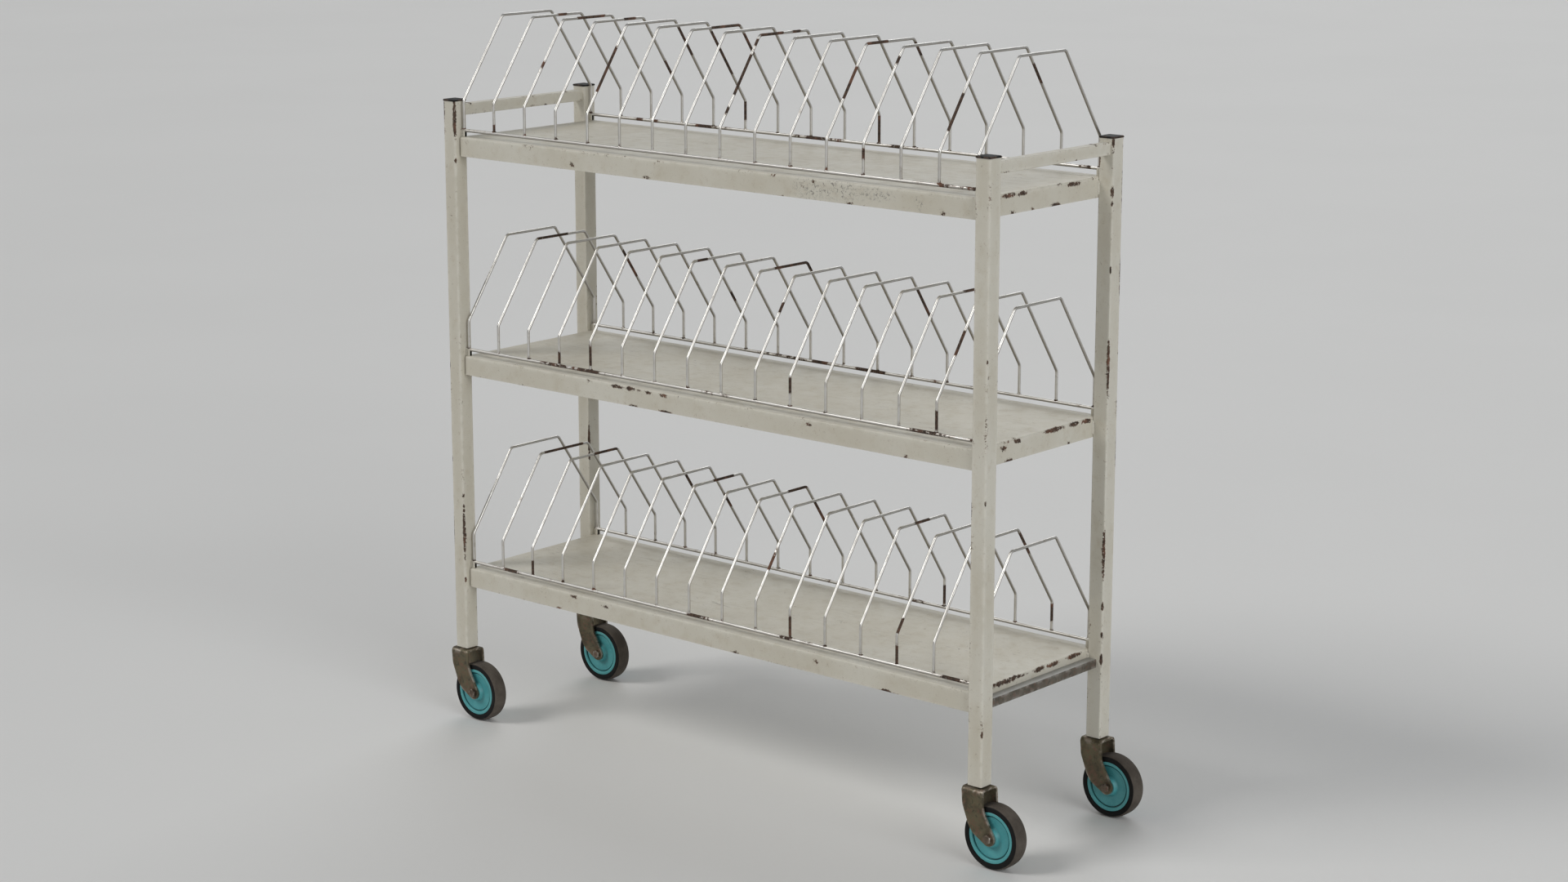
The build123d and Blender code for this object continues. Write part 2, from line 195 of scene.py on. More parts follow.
# Rust on the hoops: hoop, stretch, and the part of that stretch that it covers, for each level.
HOOP_RUST = {
    "top": [
        (1, "top", 0.52, 0.66), (2, "front_slope", 0.50, 0.54), (2, "top", 0.30, 0.82),
        (3, "top", 0.62, 0.80), (4, "front_slope", 0.26, 0.74), (5, "rear_slope", 0.12, 0.62),
        (5, "rear_leg", 0.05, 0.60), (1, "front_leg", 0.72, 1.00), (12, "front_leg", 0.20, 0.45),
        (3, "rear_slope", 0.55, 0.72), (4, "rear_slope", 0.10, 0.42), (6, "top", 0.42, 1.00),
        (6, "rear_slope", 0.10, 0.34), (8, "top", 0.00, 0.46), (8, "top", 0.68, 0.82),
        (8, "front_slope", 0.05, 0.10), (8, "front_slope", 0.22, 0.64), (8, "front_slope", 0.80, 0.83),
        (9, "rear_leg", 0.10, 0.90), (11, "top", 0.00, 0.42), (11, "front_slope", 0.26, 0.56),
        (11, "rear_slope", 0.05, 0.18), (12, "front_slope", 0.12, 0.17),
        (14, "front_slope", 0.42, 0.78), (14, "rear_slope", 0.20, 0.40),
    ],
    "middle": [
        (3, "front_leg", 0.55, 0.90), (10, "front_leg", 0.10, 0.50), (1, "top", 0.00, 0.62),
        (2, "rear_slope", 0.22, 0.55), (4, "front_leg", 0.20, 0.75), (5, "rear_slope", 0.60, 0.70),
        (6, "top", 0.10, 0.26), (8, "top", 0.30, 1.00), (8, "rear_slope", 0.00, 0.10),
        (9, "front_slope", 0.30, 0.38), (11, "rear_slope", 0.15, 0.52), (13, "top", 0.55, 0.75),
        (14, "front_slope", 0.30, 0.52), (14, "front_leg", 0.30, 0.80),
    ],
    "bottom": [
        (10, "front_leg", 0.30, 0.80), (13, "front_leg", 0.40, 1.00), (13, "front_slope", 0.86, 0.98),
        (5, "rear_slope", 0.40, 0.56), (1, "top", 0.10, 0.86), (2, "top", 0.52, 0.98),
        (2, "front_leg", 0.50, 0.95), (4, "rear_slope", 0.20, 0.34), (6, "top", 0.40, 0.80),
        (8, "top", 0.60, 0.98), (8, "rear_slope", 0.20, 0.50), (9, "front_slope", 0.52, 0.66),
        (11, "rear_leg", 0.30, 0.80), (12, "top", 0.35, 0.62), (14, "rear_slope", 0.05, 0.30),
        (14, "rear_leg", 0.10, 0.60),
    ],
}


def paint_patches():
    """Ellipsoids (centre, half sizes, strength) in which the paint has come off."""
    found = []
    for corner, at_x, at_y, low, high, reach in POST_CHIPS:
        middle = middle_of(f"post_{corner}")
        centre = (middle.x + at_x * POST_SIZE / 2, middle.y + at_y * POST_SIZE / 2,
                  POST_LOW + (low + high) / 2)
        half = (high - low) / 2 + 2 * MM
        found.append((centre, (reach * MM, reach * MM, half), 1.0))
    half_depth = TRAY_DEPTH / 2
    half_length = TRAY_LENGTH / 2
    for chips, at_x in ((RIGHT_FLANGE_CHIPS, half_length), (LEFT_FLANGE_CHIPS, -half_length)):
        for level, y, half, below in chips:
            centre = (FRAME_X + at_x, y * MM, tray_surface(level) - below * MM)
            found.append((centre, (5 * MM, half * MM * 1.15, 4.2 * MM), 1.0))
    for chips, at_y in ((FRONT_FLANGE_CHIPS, -half_depth), (REAR_FLANGE_CHIPS, half_depth)):
        for level, x, half, below in chips:
            centre = (FRAME_X + x * MM, at_y, tray_surface(level) - below * MM)
            found.append((centre, (half * MM * 1.2, 5 * MM, 3.6 * MM), 1.0))
    return found


def rub_patches():
    return [((FRAME_X + x * MM, -TRAY_DEPTH / 2, tray_surface("top") - below * MM),
             (half * MM, 6 * MM, height * MM), 1.0) for x, half, below, height in FLANGE_RUBS]


def field(point, patches):
    """How far inside the nearest patch a point lies: 1 in its middle, 0 outside it."""
    best = 0.0
    for centre, half, strength in patches:
        far = sum(((point[i] - centre[i]) / half[i]) ** 2 for i in range(3))
        if far < 1.7:
            best = max(best, strength * min(1.0, 1.35 * (1.0 - far / 1.7)))
    return best


# ---- Mesh tools --------------------------------------------------------------------------------


class Shell:
    """Vertices and faces of one mesh, with the numbers its vertices carry."""

    def __init__(self):
        self.points = []
        self.faces = []
        self.fields = {"edge": [], "wear_and_shade": []}

    def add(self, point, edge=0.0, wear_and_shade=0.0):
        self.points.append(Vector(point))
        self.fields["edge"].append(edge)
        self.fields["wear_and_shade"].append(wear_and_shade)
        return len(self.points) - 1

    def loft(self, rows, round_rows=True, close=False):
        """Quads between rows of vertex numbers. Each row is a ring if round_rows is true."""
        pairs = list(zip(rows, rows[1:]))
        if close:
            pairs.append((rows[-1], rows[0]))
        for low, high in pairs:
            count = len(low)
            for i in range(count if round_rows else count - 1):
                j = (i + 1) % count
                self.faces.append((low[i], low[j], high[j], high[i]))

    def fan(self, ring, centre, flip=False):
        count = len(ring)
        for i in range(count):
            j = (i + 1) % count
            self.faces.append((ring[j], ring[i], centre) if flip else (ring[i], ring[j], centre))

    def mesh(self, name, patches=None, sharp_angle=38.0):
        data = bpy.data.meshes.new(name)
        data.from_pydata([tuple(p) for p in self.points], [], self.faces)
        if patches:
            for i, point in enumerate(self.points):
                self.fields["wear_and_shade"][i] = max(self.fields["wear_and_shade"][i], field(point, patches))
        for label, values in self.fields.items():
            data.attributes.new(label, "FLOAT", "POINT").data.foreach_set("value", values)
        work = bmesh.new()
        work.from_mesh(data)
        bmesh.ops.recalc_face_normals(work, faces=work.faces)
        for face in work.faces:
            face.smooth = True
        for line in work.edges:
            if len(line.link_faces) == 2 and line.calc_face_angle() > math.radians(sharp_angle):
                line.smooth = False
        work.to_mesh(data)
        work.free()
        return data


def piece(name, shell, body, material, replaces=(), patches=None, sharp_angle=38.0):
    """A finished mesh object that moves with a body and stands for CAD nodes."""
    made = bpy.data.objects.new(name, shell.mesh(name, patches, sharp_angle))
    bpy.context.scene.collection.objects.link(made)
    made.data.materials.append(material)
    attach(made, body)
    if replaces:
        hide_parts(*replaces)
    return made


def stops(low, high, spacing, margins=()):
    """Places from low to high: the margins in from both ends, and even steps between them."""
    inset = margins[-1] if margins else 0.0
    count = max(1, round((high - low - 2 * inset) / spacing))
    even = [low + inset + (high - low - 2 * inset) * i / count for i in range(count + 1)]
    if not margins:
        return even
    before = [low] + [low + m for m in margins[:-1]]
    after = [high - m for m in reversed(margins[:-1])] + [high]
    return before + even + after


def near(distance, reach=3.0 * MM):
    """1 at an edge, falling off with the distance from it."""
    return math.exp(-((distance / reach) ** 1.3))


def rounded_rectangle(half_x, half_y, radius, spacing, arc_steps=4):
    """Points (x, y, edge) round a rectangle, counter-clockwise, starting after the corner at +X -Y."""
    margins = (0.8 * MM, 2.0 * MM, 4.5 * MM)
    found = []
    for turn in range(4):
        long_half, wide_half = (half_y, half_x) if turn % 2 == 0 else (half_x, half_y)
        angle = turn * math.pi / 2
        out = Vector((math.cos(angle), math.sin(angle)))
        along = Vector((-out.y, out.x))
        reach = long_half - radius
        for s in stops(-reach, reach, spacing, margins)[:-1]:
            p = out * wide_half + along * s
            found.append((p.x, p.y, near(reach - abs(s))))
        centre = out * (wide_half - radius) + along * reach
        for i in range(arc_steps):
            a = angle + math.pi / 2 * i / arc_steps
            p = centre + radius * Vector((math.cos(a), math.sin(a)))
            found.append((p.x, p.y, 1.0))
    return found


def rounded_path(corners, radius, arc_steps, spacing):
    """Points along straight runs joined by arcs, with the run each belongs to and its share."""
    found = []
    start = corners[0]
    for i in range(1, len(corners)):
        before = corners[i - 1]
        corner = corners[i]
        if i < len(corners) - 1:
            back = (before - corner).normalized()
            ahead = (corners[i + 1] - corner).normalized()
            turn = back.angle(ahead)
            cut = radius / math.tan(turn / 2)
            enter = corner + back * cut
            leave = corner + ahead * cut
        else:
            enter = leave = corner
        steps = max(1, round((enter - start).length / spacing))
        found += [start.lerp(enter, k / steps) for k in range(steps + 1)]
        if i < len(corners) - 1:
            centre = corner + (back + ahead).normalized() * (radius / math.sin(turn / 2))
            first = enter - centre
            last = leave - centre
            for k in range(1, arc_steps):
                found.append(centre + radius * first.slerp(last, k / arc_steps))
        start = leave
    return found


def smooth_profile(corners, radii, arc_steps=5):
    """A (radius, y) outline with chosen corners rounded, and how sharp each point's corner is."""
    found = []
    count = len(corners)
    for i, corner in enumerate(corners):
        radius = radii.get(i, 0.0)
        here = Vector(corner)
        if radius <= 0:
            found.append((here.x, here.y, 0.0))
            continue
        back = (Vector(corners[i - 1]) - here).normalized()
        ahead = (Vector(corners[(i + 1) % count]) - here).normalized()
        turn = back.angle(ahead)
        cut = radius / math.tan(turn / 2)
        centre = here + (back + ahead).normalized() * (radius / math.sin(turn / 2))
        first = here + back * cut - centre
        last = here + ahead * cut - centre
        for k in range(arc_steps + 1):
            p = centre + radius * first.slerp(last, k / arc_steps)
            found.append((p.x, p.y, 1.0))
    return found


def lathe(shell, profile, centre, axis="y", segments=96, closed=True):
    """Turns (radius, along, edge[, wear]) points about an axis through centre."""
    rows = []
    for entry in profile:
        radius, along, edge = entry[:3]
        wear_and_shade = entry[3] if len(entry) > 3 else 0.0
        if radius < 1e-7:
            offset = (0, along, 0) if axis == "y" else (0, 0, along)
            rows.append(shell.add(Vector(centre) + Vector(offset), edge, wear_and_shade))
            continue
        ring = []
        for i in range(segments):
            a = 2 * math.pi * i / segments
            c, s = radius * math.cos(a), radius * math.sin(a)
            offset = (c, along, s) if axis == "y" else (c, s, along)
            ring.append(shell.add(Vector(centre) + Vector(offset), edge, wear_and_shade))
        rows.append(ring)
    pairs = list(zip(rows, rows[1:]))
    if closed:
        pairs.append((rows[-1], rows[0]))
    for low, high in pairs:
        if isinstance(low, int) and isinstance(high, int):
            continue
        if isinstance(low, int):
            shell.fan(high, low)
        elif isinstance(high, int):
            shell.fan(low, high, flip=True)
        else:
            shell.loft([low, high])


def modify(made, kind, **settings):
    modifier = made.modifiers.new(kind.lower(), kind)
    for name, value in settings.items():
        setattr(modifier, name, value)
    return modifier


# ---- Materials ---------------------------------------------------------------------------------


class Graph:
    """Short ways to write a material's nodes. Every method returns an output socket."""

    def __init__(self, name):
        self.material = bpy.data.materials.new(name)
        self.material.use_nodes = True
        self.tree = self.material.node_tree
        self.shader = self.tree.nodes["Principled BSDF"]
        self.place = self.node("ShaderNodeTexCoord").outputs["Object"]

    def node(self, kind, **settings):
        made = self.tree.nodes.new(kind)
        for name, value in settings.items():
            setattr(made, name, value)
        return made

    def put(self, socket, value):
        if isinstance(value, bpy.types.NodeSocket):
            self.tree.links.new(value, socket)
        elif value is not None:
            socket.default_value = value

    def color(self, value):
        return (*value, 1.0)

    def moved(self, scale=(1, 1, 1), offset=(0, 0, 0), turn=(0, 0, 0)):
        made = self.node("ShaderNodeMapping")
        self.put(made.inputs["Vector"], self.place)
        self.put(made.inputs["Scale"], scale)
        self.put(made.inputs["Location"], offset)
        self.put(made.inputs["Rotation"], turn)
        return made.outputs["Vector"]

    def noise(self, scale, detail=4.0, rough=0.55, distort=0.0, place=None):
        made = self.node("ShaderNodeTexNoise")
        self.put(made.inputs["Vector"], place or self.place)
        self.put(made.inputs["Scale"], scale)
        self.put(made.inputs["Detail"], detail)
        self.put(made.inputs["Roughness"], rough)
        self.put(made.inputs["Distortion"], distort)
        return made.outputs["Fac"]

    def attribute(self, name):
        return self.node("ShaderNodeAttribute", attribute_name=name).outputs["Fac"]

    def math(self, kind, a, b=None):
        made = self.node("ShaderNodeMath", operation=kind)
        self.put(made.inputs[0], a)
        self.put(made.inputs[1], b)
        return made.outputs[0]

    def sum(self, *terms):
        """Adds up (socket, factor) pairs and plain numbers."""
        total = None
        for term in terms:
            part = self.math("MULTIPLY", *term) if isinstance(term, tuple) else term
            total = part if total is None else self.math("ADD", total, part)
        return total

    def span(self, value, low, high, to_low=0.0, to_high=1.0):
        """Takes low..high to to_low..to_high, smoothly and clamped."""
        made = self.node("ShaderNodeMapRange", interpolation_type="SMOOTHSTEP")
        self.put(made.inputs["Value"], value)
        numbers = {"From Min": low, "From Max": high, "To Min": to_low, "To Max": to_high}
        for label, number in numbers.items():
            self.put(made.inputs[label], number)
        return made.outputs["Result"]

    def mix(self, share, a, b, blend="MIX"):
        made = self.node("ShaderNodeMix", data_type="RGBA", blend_type=blend)
        self.put(made.inputs[0], share)
        self.put(made.inputs[6], self.color(a) if isinstance(a, tuple) else a)
        self.put(made.inputs[7], self.color(b) if isinstance(b, tuple) else b)
        return made.outputs[2]

    def bump(self, height, strength, distance, under=None):
        made = self.node("ShaderNodeBump")
        self.put(made.inputs["Strength"], strength)
        self.put(made.inputs["Distance"], distance)
        self.put(made.inputs["Height"], height)
        if under is not None:
            self.put(made.inputs["Normal"], under)
        return made.outputs["Normal"]

    def facing_up(self):
        normal = self.node("ShaderNodeNewGeometry").outputs["Normal"]
        split = self.node("ShaderNodeSeparateXYZ")
        self.put(split.inputs[0], normal)
        return split.outputs["Z"]

    def finish(self, color, rough, normal=None, metallic=0.0, **constants):
        self.put(self.shader.inputs["Base Color"], color)
        self.put(self.shader.inputs["Roughness"], rough)
        self.put(self.shader.inputs["Metallic"], metallic)
        if normal is not None:
            self.put(self.shader.inputs["Normal"], normal)
        for name, value in constants.items():
            self.shader.inputs[name.replace("_", " ")].default_value = value
        return self.material


RUST_DARK = (0.034, 0.023, 0.017)
RUST_BROWN = (0.120, 0.072, 0.048)
RUST_RED = (0.215, 0.098, 0.060)


def rust_color(g):
    """Brown rust that goes from nearly black to reddish."""
    fine = g.noise(260, 5, 0.65)
    broad = g.noise(38, 3, 0.5)
    brown = g.mix(g.span(fine, 0.36, 0.66), RUST_DARK, RUST_BROWN)
    return g.mix(g.span(broad, 0.50, 0.72, 0, 0.75), brown, RUST_RED)


def painted(name, scratched):
    """Cream stove enamel that has yellowed a little and chipped down to brown rust."""
    g = Graph(name)
    edge = g.attribute("edge")
    wear_and_shade = g.attribute("wear_and_shade")
    rub = g.attribute("rub")
    broad = g.noise(5.5, 4, 0.55)
    mottle = g.noise(46, 5, 0.62)
    fine = g.noise(420, 3, 0.6)
    chip_noise = g.math("SUBTRACT", g.noise(170, 9, 0.72, 0.9), 0.5)
    edge_noise = g.noise(17, 3, 0.6)

    cream = g.mix(g.span(broad, 0.34, 0.68), (0.590, 0.556, 0.466), (0.650, 0.626, 0.546))
    cream = g.mix(g.span(mottle, 0.48, 0.80, 0, 0.55), cream, (0.515, 0.462, 0.360))
    cream = g.mix(g.span(fine, 0.60, 0.78, 0, 0.30), cream, (0.420, 0.375, 0.300))
    cream = g.mix(g.span(g.noise(230, 6, 0.75), 0.62, 0.70, 0, 0.55), cream, (0.300, 0.262, 0.205))
    # Painted highlight: a paler cream along folds and corners, patchy with the mottle.
    painted_edge_highlight = g.math("MULTIPLY", edge, g.span(mottle, 0.35, 0.60, 0.0, 0.50))
    cream = g.mix(painted_edge_highlight, cream, (0.760, 0.735, 0.660))

    worn_edge = g.math("MULTIPLY", edge, g.span(edge_noise, 0.50, 0.70))
    level = g.sum((chip_noise, 3.0), (wear_and_shade, 0.80), (worn_edge, 0.42))
    chip = g.span(level, 0.540, 0.590)
    stain = g.span(level, 0.240, 0.600)

    grime = g.math("MULTIPLY", stain, g.span(mottle, 0.30, 0.62, 0.25, 0.75))
    paint = g.mix(grime, cream, (0.330, 0.262, 0.190))

    smear_noise = g.noise(150, 7, 0.72, 1.2)
    smear = g.math("MULTIPLY", rub, g.span(smear_noise, 0.50, 0.66))
    paint = g.mix(smear, paint, (0.165, 0.150, 0.135))

    height = g.sum((chip, -1.0), (fine, 0.05), (mottle, 0.12))
    rough = g.span(mottle, 0.3, 0.7, 0.40, 0.56)
    if scratched:
        paint, rough = with_scratches(g, paint, rough)
    color = g.mix(chip, paint, rust_color(g))
    rough = g.sum(rough, (chip, 0.34), (smear, 0.15))
    normal = g.bump(height, 0.55, 0.35 * MM)
    return g.finish(color, rough, normal, Specular_IOR_Level=0.42)


def hairlines(g, turn, seed, width, broad, narrow):
    """Thin wandering lines: where a stretched noise crosses its middle value."""
    place = g.moved((broad, narrow, 3.0), (seed, seed, 0), (0, 0, turn))
    stretched = g.noise(1.0, 3, 0.45, 0.4, place)
    off_middle = g.math("ABSOLUTE", g.math("SUBTRACT", stretched, 0.5))
    return g.span(off_middle, width, 0.0)


def with_scratches(g, paint, rough):
    """Dark fine scratches and paler rubbed tracks that sliding binders left."""
    only_up = g.span(g.facing_up(), 0.7, 0.95)
    where = g.span(g.noise(9, 3, 0.6), 0.47, 0.62)
    lines = None
    for turn, seed, width in ((0.12, 3.0, 0.0055), (-0.35, 11.0, 0.004), (0.55, 23.0, 0.0035)):
        track = hairlines(g, turn, seed, width, 7, 75)
        broken = g.span(g.noise(26, 3, 0.6, 0, g.moved(offset=(seed, 0, seed))), 0.52, 0.60)
        track = g.math("MULTIPLY", track, broken)
        lines = track if lines is None else g.math("MAXIMUM", lines, track)
    lines = g.math("MULTIPLY", g.math("MULTIPLY", lines, where), only_up)
    tracks = g.span(g.noise(1.0, 4, 0.6, 0.2, g.moved((10, 90, 3), (5, 2, 0), (0, 0, 0.15))), 0.56, 0.70)
    tracks = g.math("MULTIPLY", tracks, only_up)
    paint = g.mix(g.math("MULTIPLY", tracks, 0.35), paint, (0.520, 0.485, 0.415))
    paint = g.mix(g.math("MULTIPLY", lines, 0.85), paint, (0.150, 0.118, 0.085))
    return paint, g.sum(rough, (tracks, 0.12))


def plated_wire():
    """Bright plated wire, dulled by handling, with rust where the plating has gone, and painted shade on its
    undersides.
    """
    g = Graph("plated_wire")
    wear_and_shade = g.attribute("wear_and_shade")
    patch = g.math("SUBTRACT", g.noise(120, 6, 0.66, 0.4), 0.5)
    dull = g.noise(30, 4, 0.6)
    fine = g.noise(600, 3, 0.6)
    level = g.sum((patch, 1.6), (wear_and_shade, 0.80))
    rust = g.span(level, 0.46, 0.54)
    haze = g.span(level, 0.16, 0.52)
    bright = g.mix(g.span(dull, 0.35, 0.70), (0.760, 0.745, 0.715), (0.660, 0.640, 0.605))
    bright = g.mix(g.math("MULTIPLY", haze, 0.55), bright, (0.330, 0.275, 0.225))
    # Painted shade: the plating turns darker where its surface faces downward.
    bright = g.mix(g.span(g.facing_up(), 0.10, -0.60), bright, (0.330, 0.305, 0.270))
    color = g.mix(rust, bright, rust_color(g))
    rough = g.sum(g.span(dull, 0.3, 0.7, 0.33, 0.40), (rust, 0.36), (haze, 0.08))
    height = g.sum((rust, 1.0), (g.math("MULTIPLY", rust, fine), 0.6))
    metal = g.span(rust, 0.0, 1.0, 1.0, 0.15)
    return g.finish(color, rough, g.bump(height, 0.5, 0.15 * MM), metal)


def patinated_steel(name, light, dark, bright, metal=0.75, dusty=False):
    """Bare steel with a brown patina, rubbed bright on its edges with a painted highlight there as well, and
    pale dust on top if dusty.
    """
    g = Graph(name)
    edge = g.attribute("edge")
    broad = g.noise(34, 5, 0.62)
    blotch = g.noise(120, 6, 0.68, 0.5)
    fine = g.noise(700, 3, 0.6)
    brown = g.mix(g.span(broad, 0.38, 0.64), light, dark)
    brown = g.mix(g.span(blotch, 0.50, 0.64, 0, 0.75), brown, (0.200, 0.112, 0.078))
    brown = g.mix(g.span(blotch, 0.47, 0.34, 0, 0.60), brown, (0.040, 0.034, 0.026))
    # Rubbed bare steel and painted highlight together: the edge number lays a bright colour on edges and
    # bends.
    rubbed = g.math("MULTIPLY", edge, g.span(g.noise(60, 4, 0.6), 0.46, 0.62, 0.04, 0.85))
    color = g.mix(rubbed, brown, bright)
    if dusty:
        color = g.mix(g.span(g.facing_up(), 0.6, 0.95, 0.0, 0.85), color, (0.400, 0.400, 0.385))
    rough = g.sum(g.span(blotch, 0.3, 0.7, 0.40, 0.62), (rubbed, -0.14))
    height = g.sum((fine, 0.25), (blotch, 0.5))
    return g.finish(color, rough, g.bump(height, 0.45, 0.25 * MM), metal)


def black_cap_plastic():
    g = Graph("black_plastic")
    edge = g.attribute("edge")
    dust_noise = g.noise(70, 6, 0.65)
    fine = g.noise(900, 2, 0.5)
    dust = g.math("MULTIPLY", g.span(g.facing_up(), 0.5, 0.95), g.span(dust_noise, 0.25, 0.65, 0.35, 1.0))
    color = g.mix(dust, (0.007, 0.007, 0.007), (0.020, 0.020, 0.020))
    scuff = g.math("MULTIPLY", edge, g.span(dust_noise, 0.48, 0.60))
    color = g.mix(scuff, color, (0.090, 0.060, 0.045))
    rough = g.span(dust_noise, 0.3, 0.7, 0.55, 0.72)
    normal = g.bump(g.sum((fine, 0.3), (dust_noise, 0.4)), 0.3, 0.2 * MM)
    return g.finish(color, rough, normal, Specular_IOR_Level=0.25)


def hub_plastic():
    """Turquoise moulded plastic, paler on the rim ring, with painted shade in the groove and round the
    boss's root.
    """
    g = Graph("hub_plastic")
    edge = g.attribute("edge")
    groove_shade_attribute = g.attribute("wear_and_shade")
    broad = g.noise(45, 4, 0.6)
    speck = g.noise(330, 5, 0.65)
    color = g.mix(g.span(broad, 0.32, 0.68), (0.056, 0.300, 0.325), (0.082, 0.355, 0.375))
    color = g.mix(g.math("MULTIPLY", edge, 0.40), color, (0.120, 0.420, 0.425))
    color = g.mix(g.span(speck, 0.60, 0.74, 0, 0.45), color, (0.075, 0.150, 0.145))
    # Painted shade: a darker teal in the groove and round the root of the boss.
    groove_shade = g.math("MULTIPLY", groove_shade_attribute, g.span(broad, 0.3, 0.6, 0.35, 0.85))
    color = g.mix(groove_shade, color, (0.012, 0.040, 0.044))
    rough = g.span(speck, 0.3, 0.7, 0.34, 0.52)
    return g.finish(color, rough, g.bump(g.sum((speck, 0.3), (broad, 0.4)), 0.25, 0.3 * MM))


def tyre_rubber():
    """Black rubber, its tread brown-grey with floor dust."""
    g = Graph("tyre_rubber")
    tread = g.attribute("wear_and_shade")
    broad = g.noise(28, 5, 0.6)
    grain = g.noise(520, 5, 0.7)
    dusty = g.mix(g.span(broad, 0.34, 0.68), (0.072, 0.060, 0.049), (0.110, 0.094, 0.078))
    dusty = g.mix(g.span(grain, 0.54, 0.70, 0, 0.6), dusty, (0.038, 0.033, 0.028))
    side = g.mix(g.span(broad, 0.48, 0.72, 0, 0.4), (0.0022, 0.0022, 0.0022), (0.009, 0.008, 0.007))
    share = g.span(g.sum(tread, (broad, 0.5)), 0.62, 0.98)
    color = g.mix(share, side, dusty)
    rough = g.sum(0.66, (share, 0.20))
    normal = g.bump(g.sum((grain, 0.5), (broad, 0.3)), 0.5, 0.25 * MM)
    return g.finish(color, rough, normal, Specular_IOR_Level=0.28)


def plain_grained(name, first, second, rough_low, rough_high, metal=0.0):
    """A plain material with cloudy colour and fine grain, for parts that hardly show."""
    g = Graph(name)
    broad = g.noise(55, 5, 0.6)
    grain = g.noise(480, 4, 0.65)
    color = g.mix(g.span(broad, 0.34, 0.68), first, second)
    rough = g.span(grain, 0.3, 0.7, rough_low, rough_high)
    return g.finish(color, rough, g.bump(grain, 0.3, 0.2 * MM), metal)


def floor_material():
    g = Graph("floor_pale")
    broad = g.noise(0.8, 4, 0.5)
    grain = g.noise(90, 3, 0.6)
    color = g.mix(g.span(broad, 0.35, 0.65), (0.775, 0.775, 0.768), (0.785, 0.785, 0.778))
    return g.finish(color, g.span(grain, 0.3, 0.7, 0.62, 0.74), g.bump(grain, 0.08, 0.3 * MM))


CREAM = painted("cream_enamel", scratched=False)
TRAY_CREAM = painted("tray_enamel", scratched=True)
WIRE = plated_wire()
BAR_STEEL = patinated_steel("bare_bar_steel", (0.160, 0.142, 0.112), (0.098, 0.082, 0.062),
                            (0.330, 0.315, 0.290), 0.45, dusty=True)
FORK_STEEL = patinated_steel("fork_patina", (0.150, 0.130, 0.078), (0.092, 0.076, 0.048),
                             (0.480, 0.430, 0.370), 0.62)
BOLT_STEEL = patinated_steel("bolt_steel", (0.165, 0.130, 0.098), (0.096, 0.070, 0.052),
                             (0.500, 0.460, 0.400), 0.70)
BLACK_PLASTIC = black_cap_plastic()
HUB_PLASTIC = hub_plastic()
TYRE_RUBBER = tyre_rubber()
INSERT_PLASTIC = plain_grained("insert_plastic", (0.030, 0.030, 0.031), (0.048, 0.046, 0.044),
                               0.5, 0.7)
BRASS = plain_grained("bush_brass", (0.520, 0.370, 0.140), (0.400, 0.270, 0.100), 0.3, 0.45, 1.0)

# ---- Frame -------------------------------------------------------------------------------------

PATCHES = paint_patches()
RUBS = rub_patches()


def local_patches(node, patches):
    """The patches that reach into a node's box."""
    low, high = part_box(node)
    found = []
    for centre, half, strength in patches:
        if all(low[i] - 2 * half[i] < centre[i] < high[i] + 2 * half[i] for i in range(3)):
            found.append((centre, half, strength))
    return found


def add_rub(made, patches=()):
    """The rubbed-mark number, which is zero everywhere unless there are patches."""
    values = [field(v.co, patches) if patches else 0.0 for v in made.data.vertices]
    made.data.attributes.new("rub", "FLOAT", "POINT").data.foreach_set("value", values)


def build_post(corner):
    """A square tube with rounded corners, open at both ends."""
    node = f"post_{corner}"
    middle = middle_of(node)
    half = POST_SIZE / 2
    outline = rounded_rectangle(half, half, POST_CORNER, 4.5 * MM)
    inner_scale = (half - POST_WALL) / half
    lip = 0.35 * MM
    shell = Shell()

    def ring(scale, z, end_edge):
        return [shell.add((middle.x + x * scale, middle.y + y * scale, z), max(edge, end_edge))
                for x, y, edge in outline]

    lip_scale = (half - lip) / half
    rows = [ring(lip_scale, POST_LOW, 1.0)]
    for z in stops(POST_LOW + lip, POST_TOP - lip, 3.5 * MM, (0.8 * MM, 2.5 * MM)):
        end_edge = near(min(z - POST_LOW, POST_TOP - z), 1.6 * MM)
        rows.append(ring(1.0, z, end_edge))
    rows.append(ring(lip_scale, POST_TOP, 1.0))
    rows.append(ring(inner_scale, POST_TOP, 0.6))
    rows.append(ring(inner_scale, POST_LOW, 0.6))
    shell.loft(rows, close=True)
    made = piece(f"post_tube_{corner}", shell, "frame", CREAM, [node],
                 local_patches(node, PATCHES))
    add_rub(made)


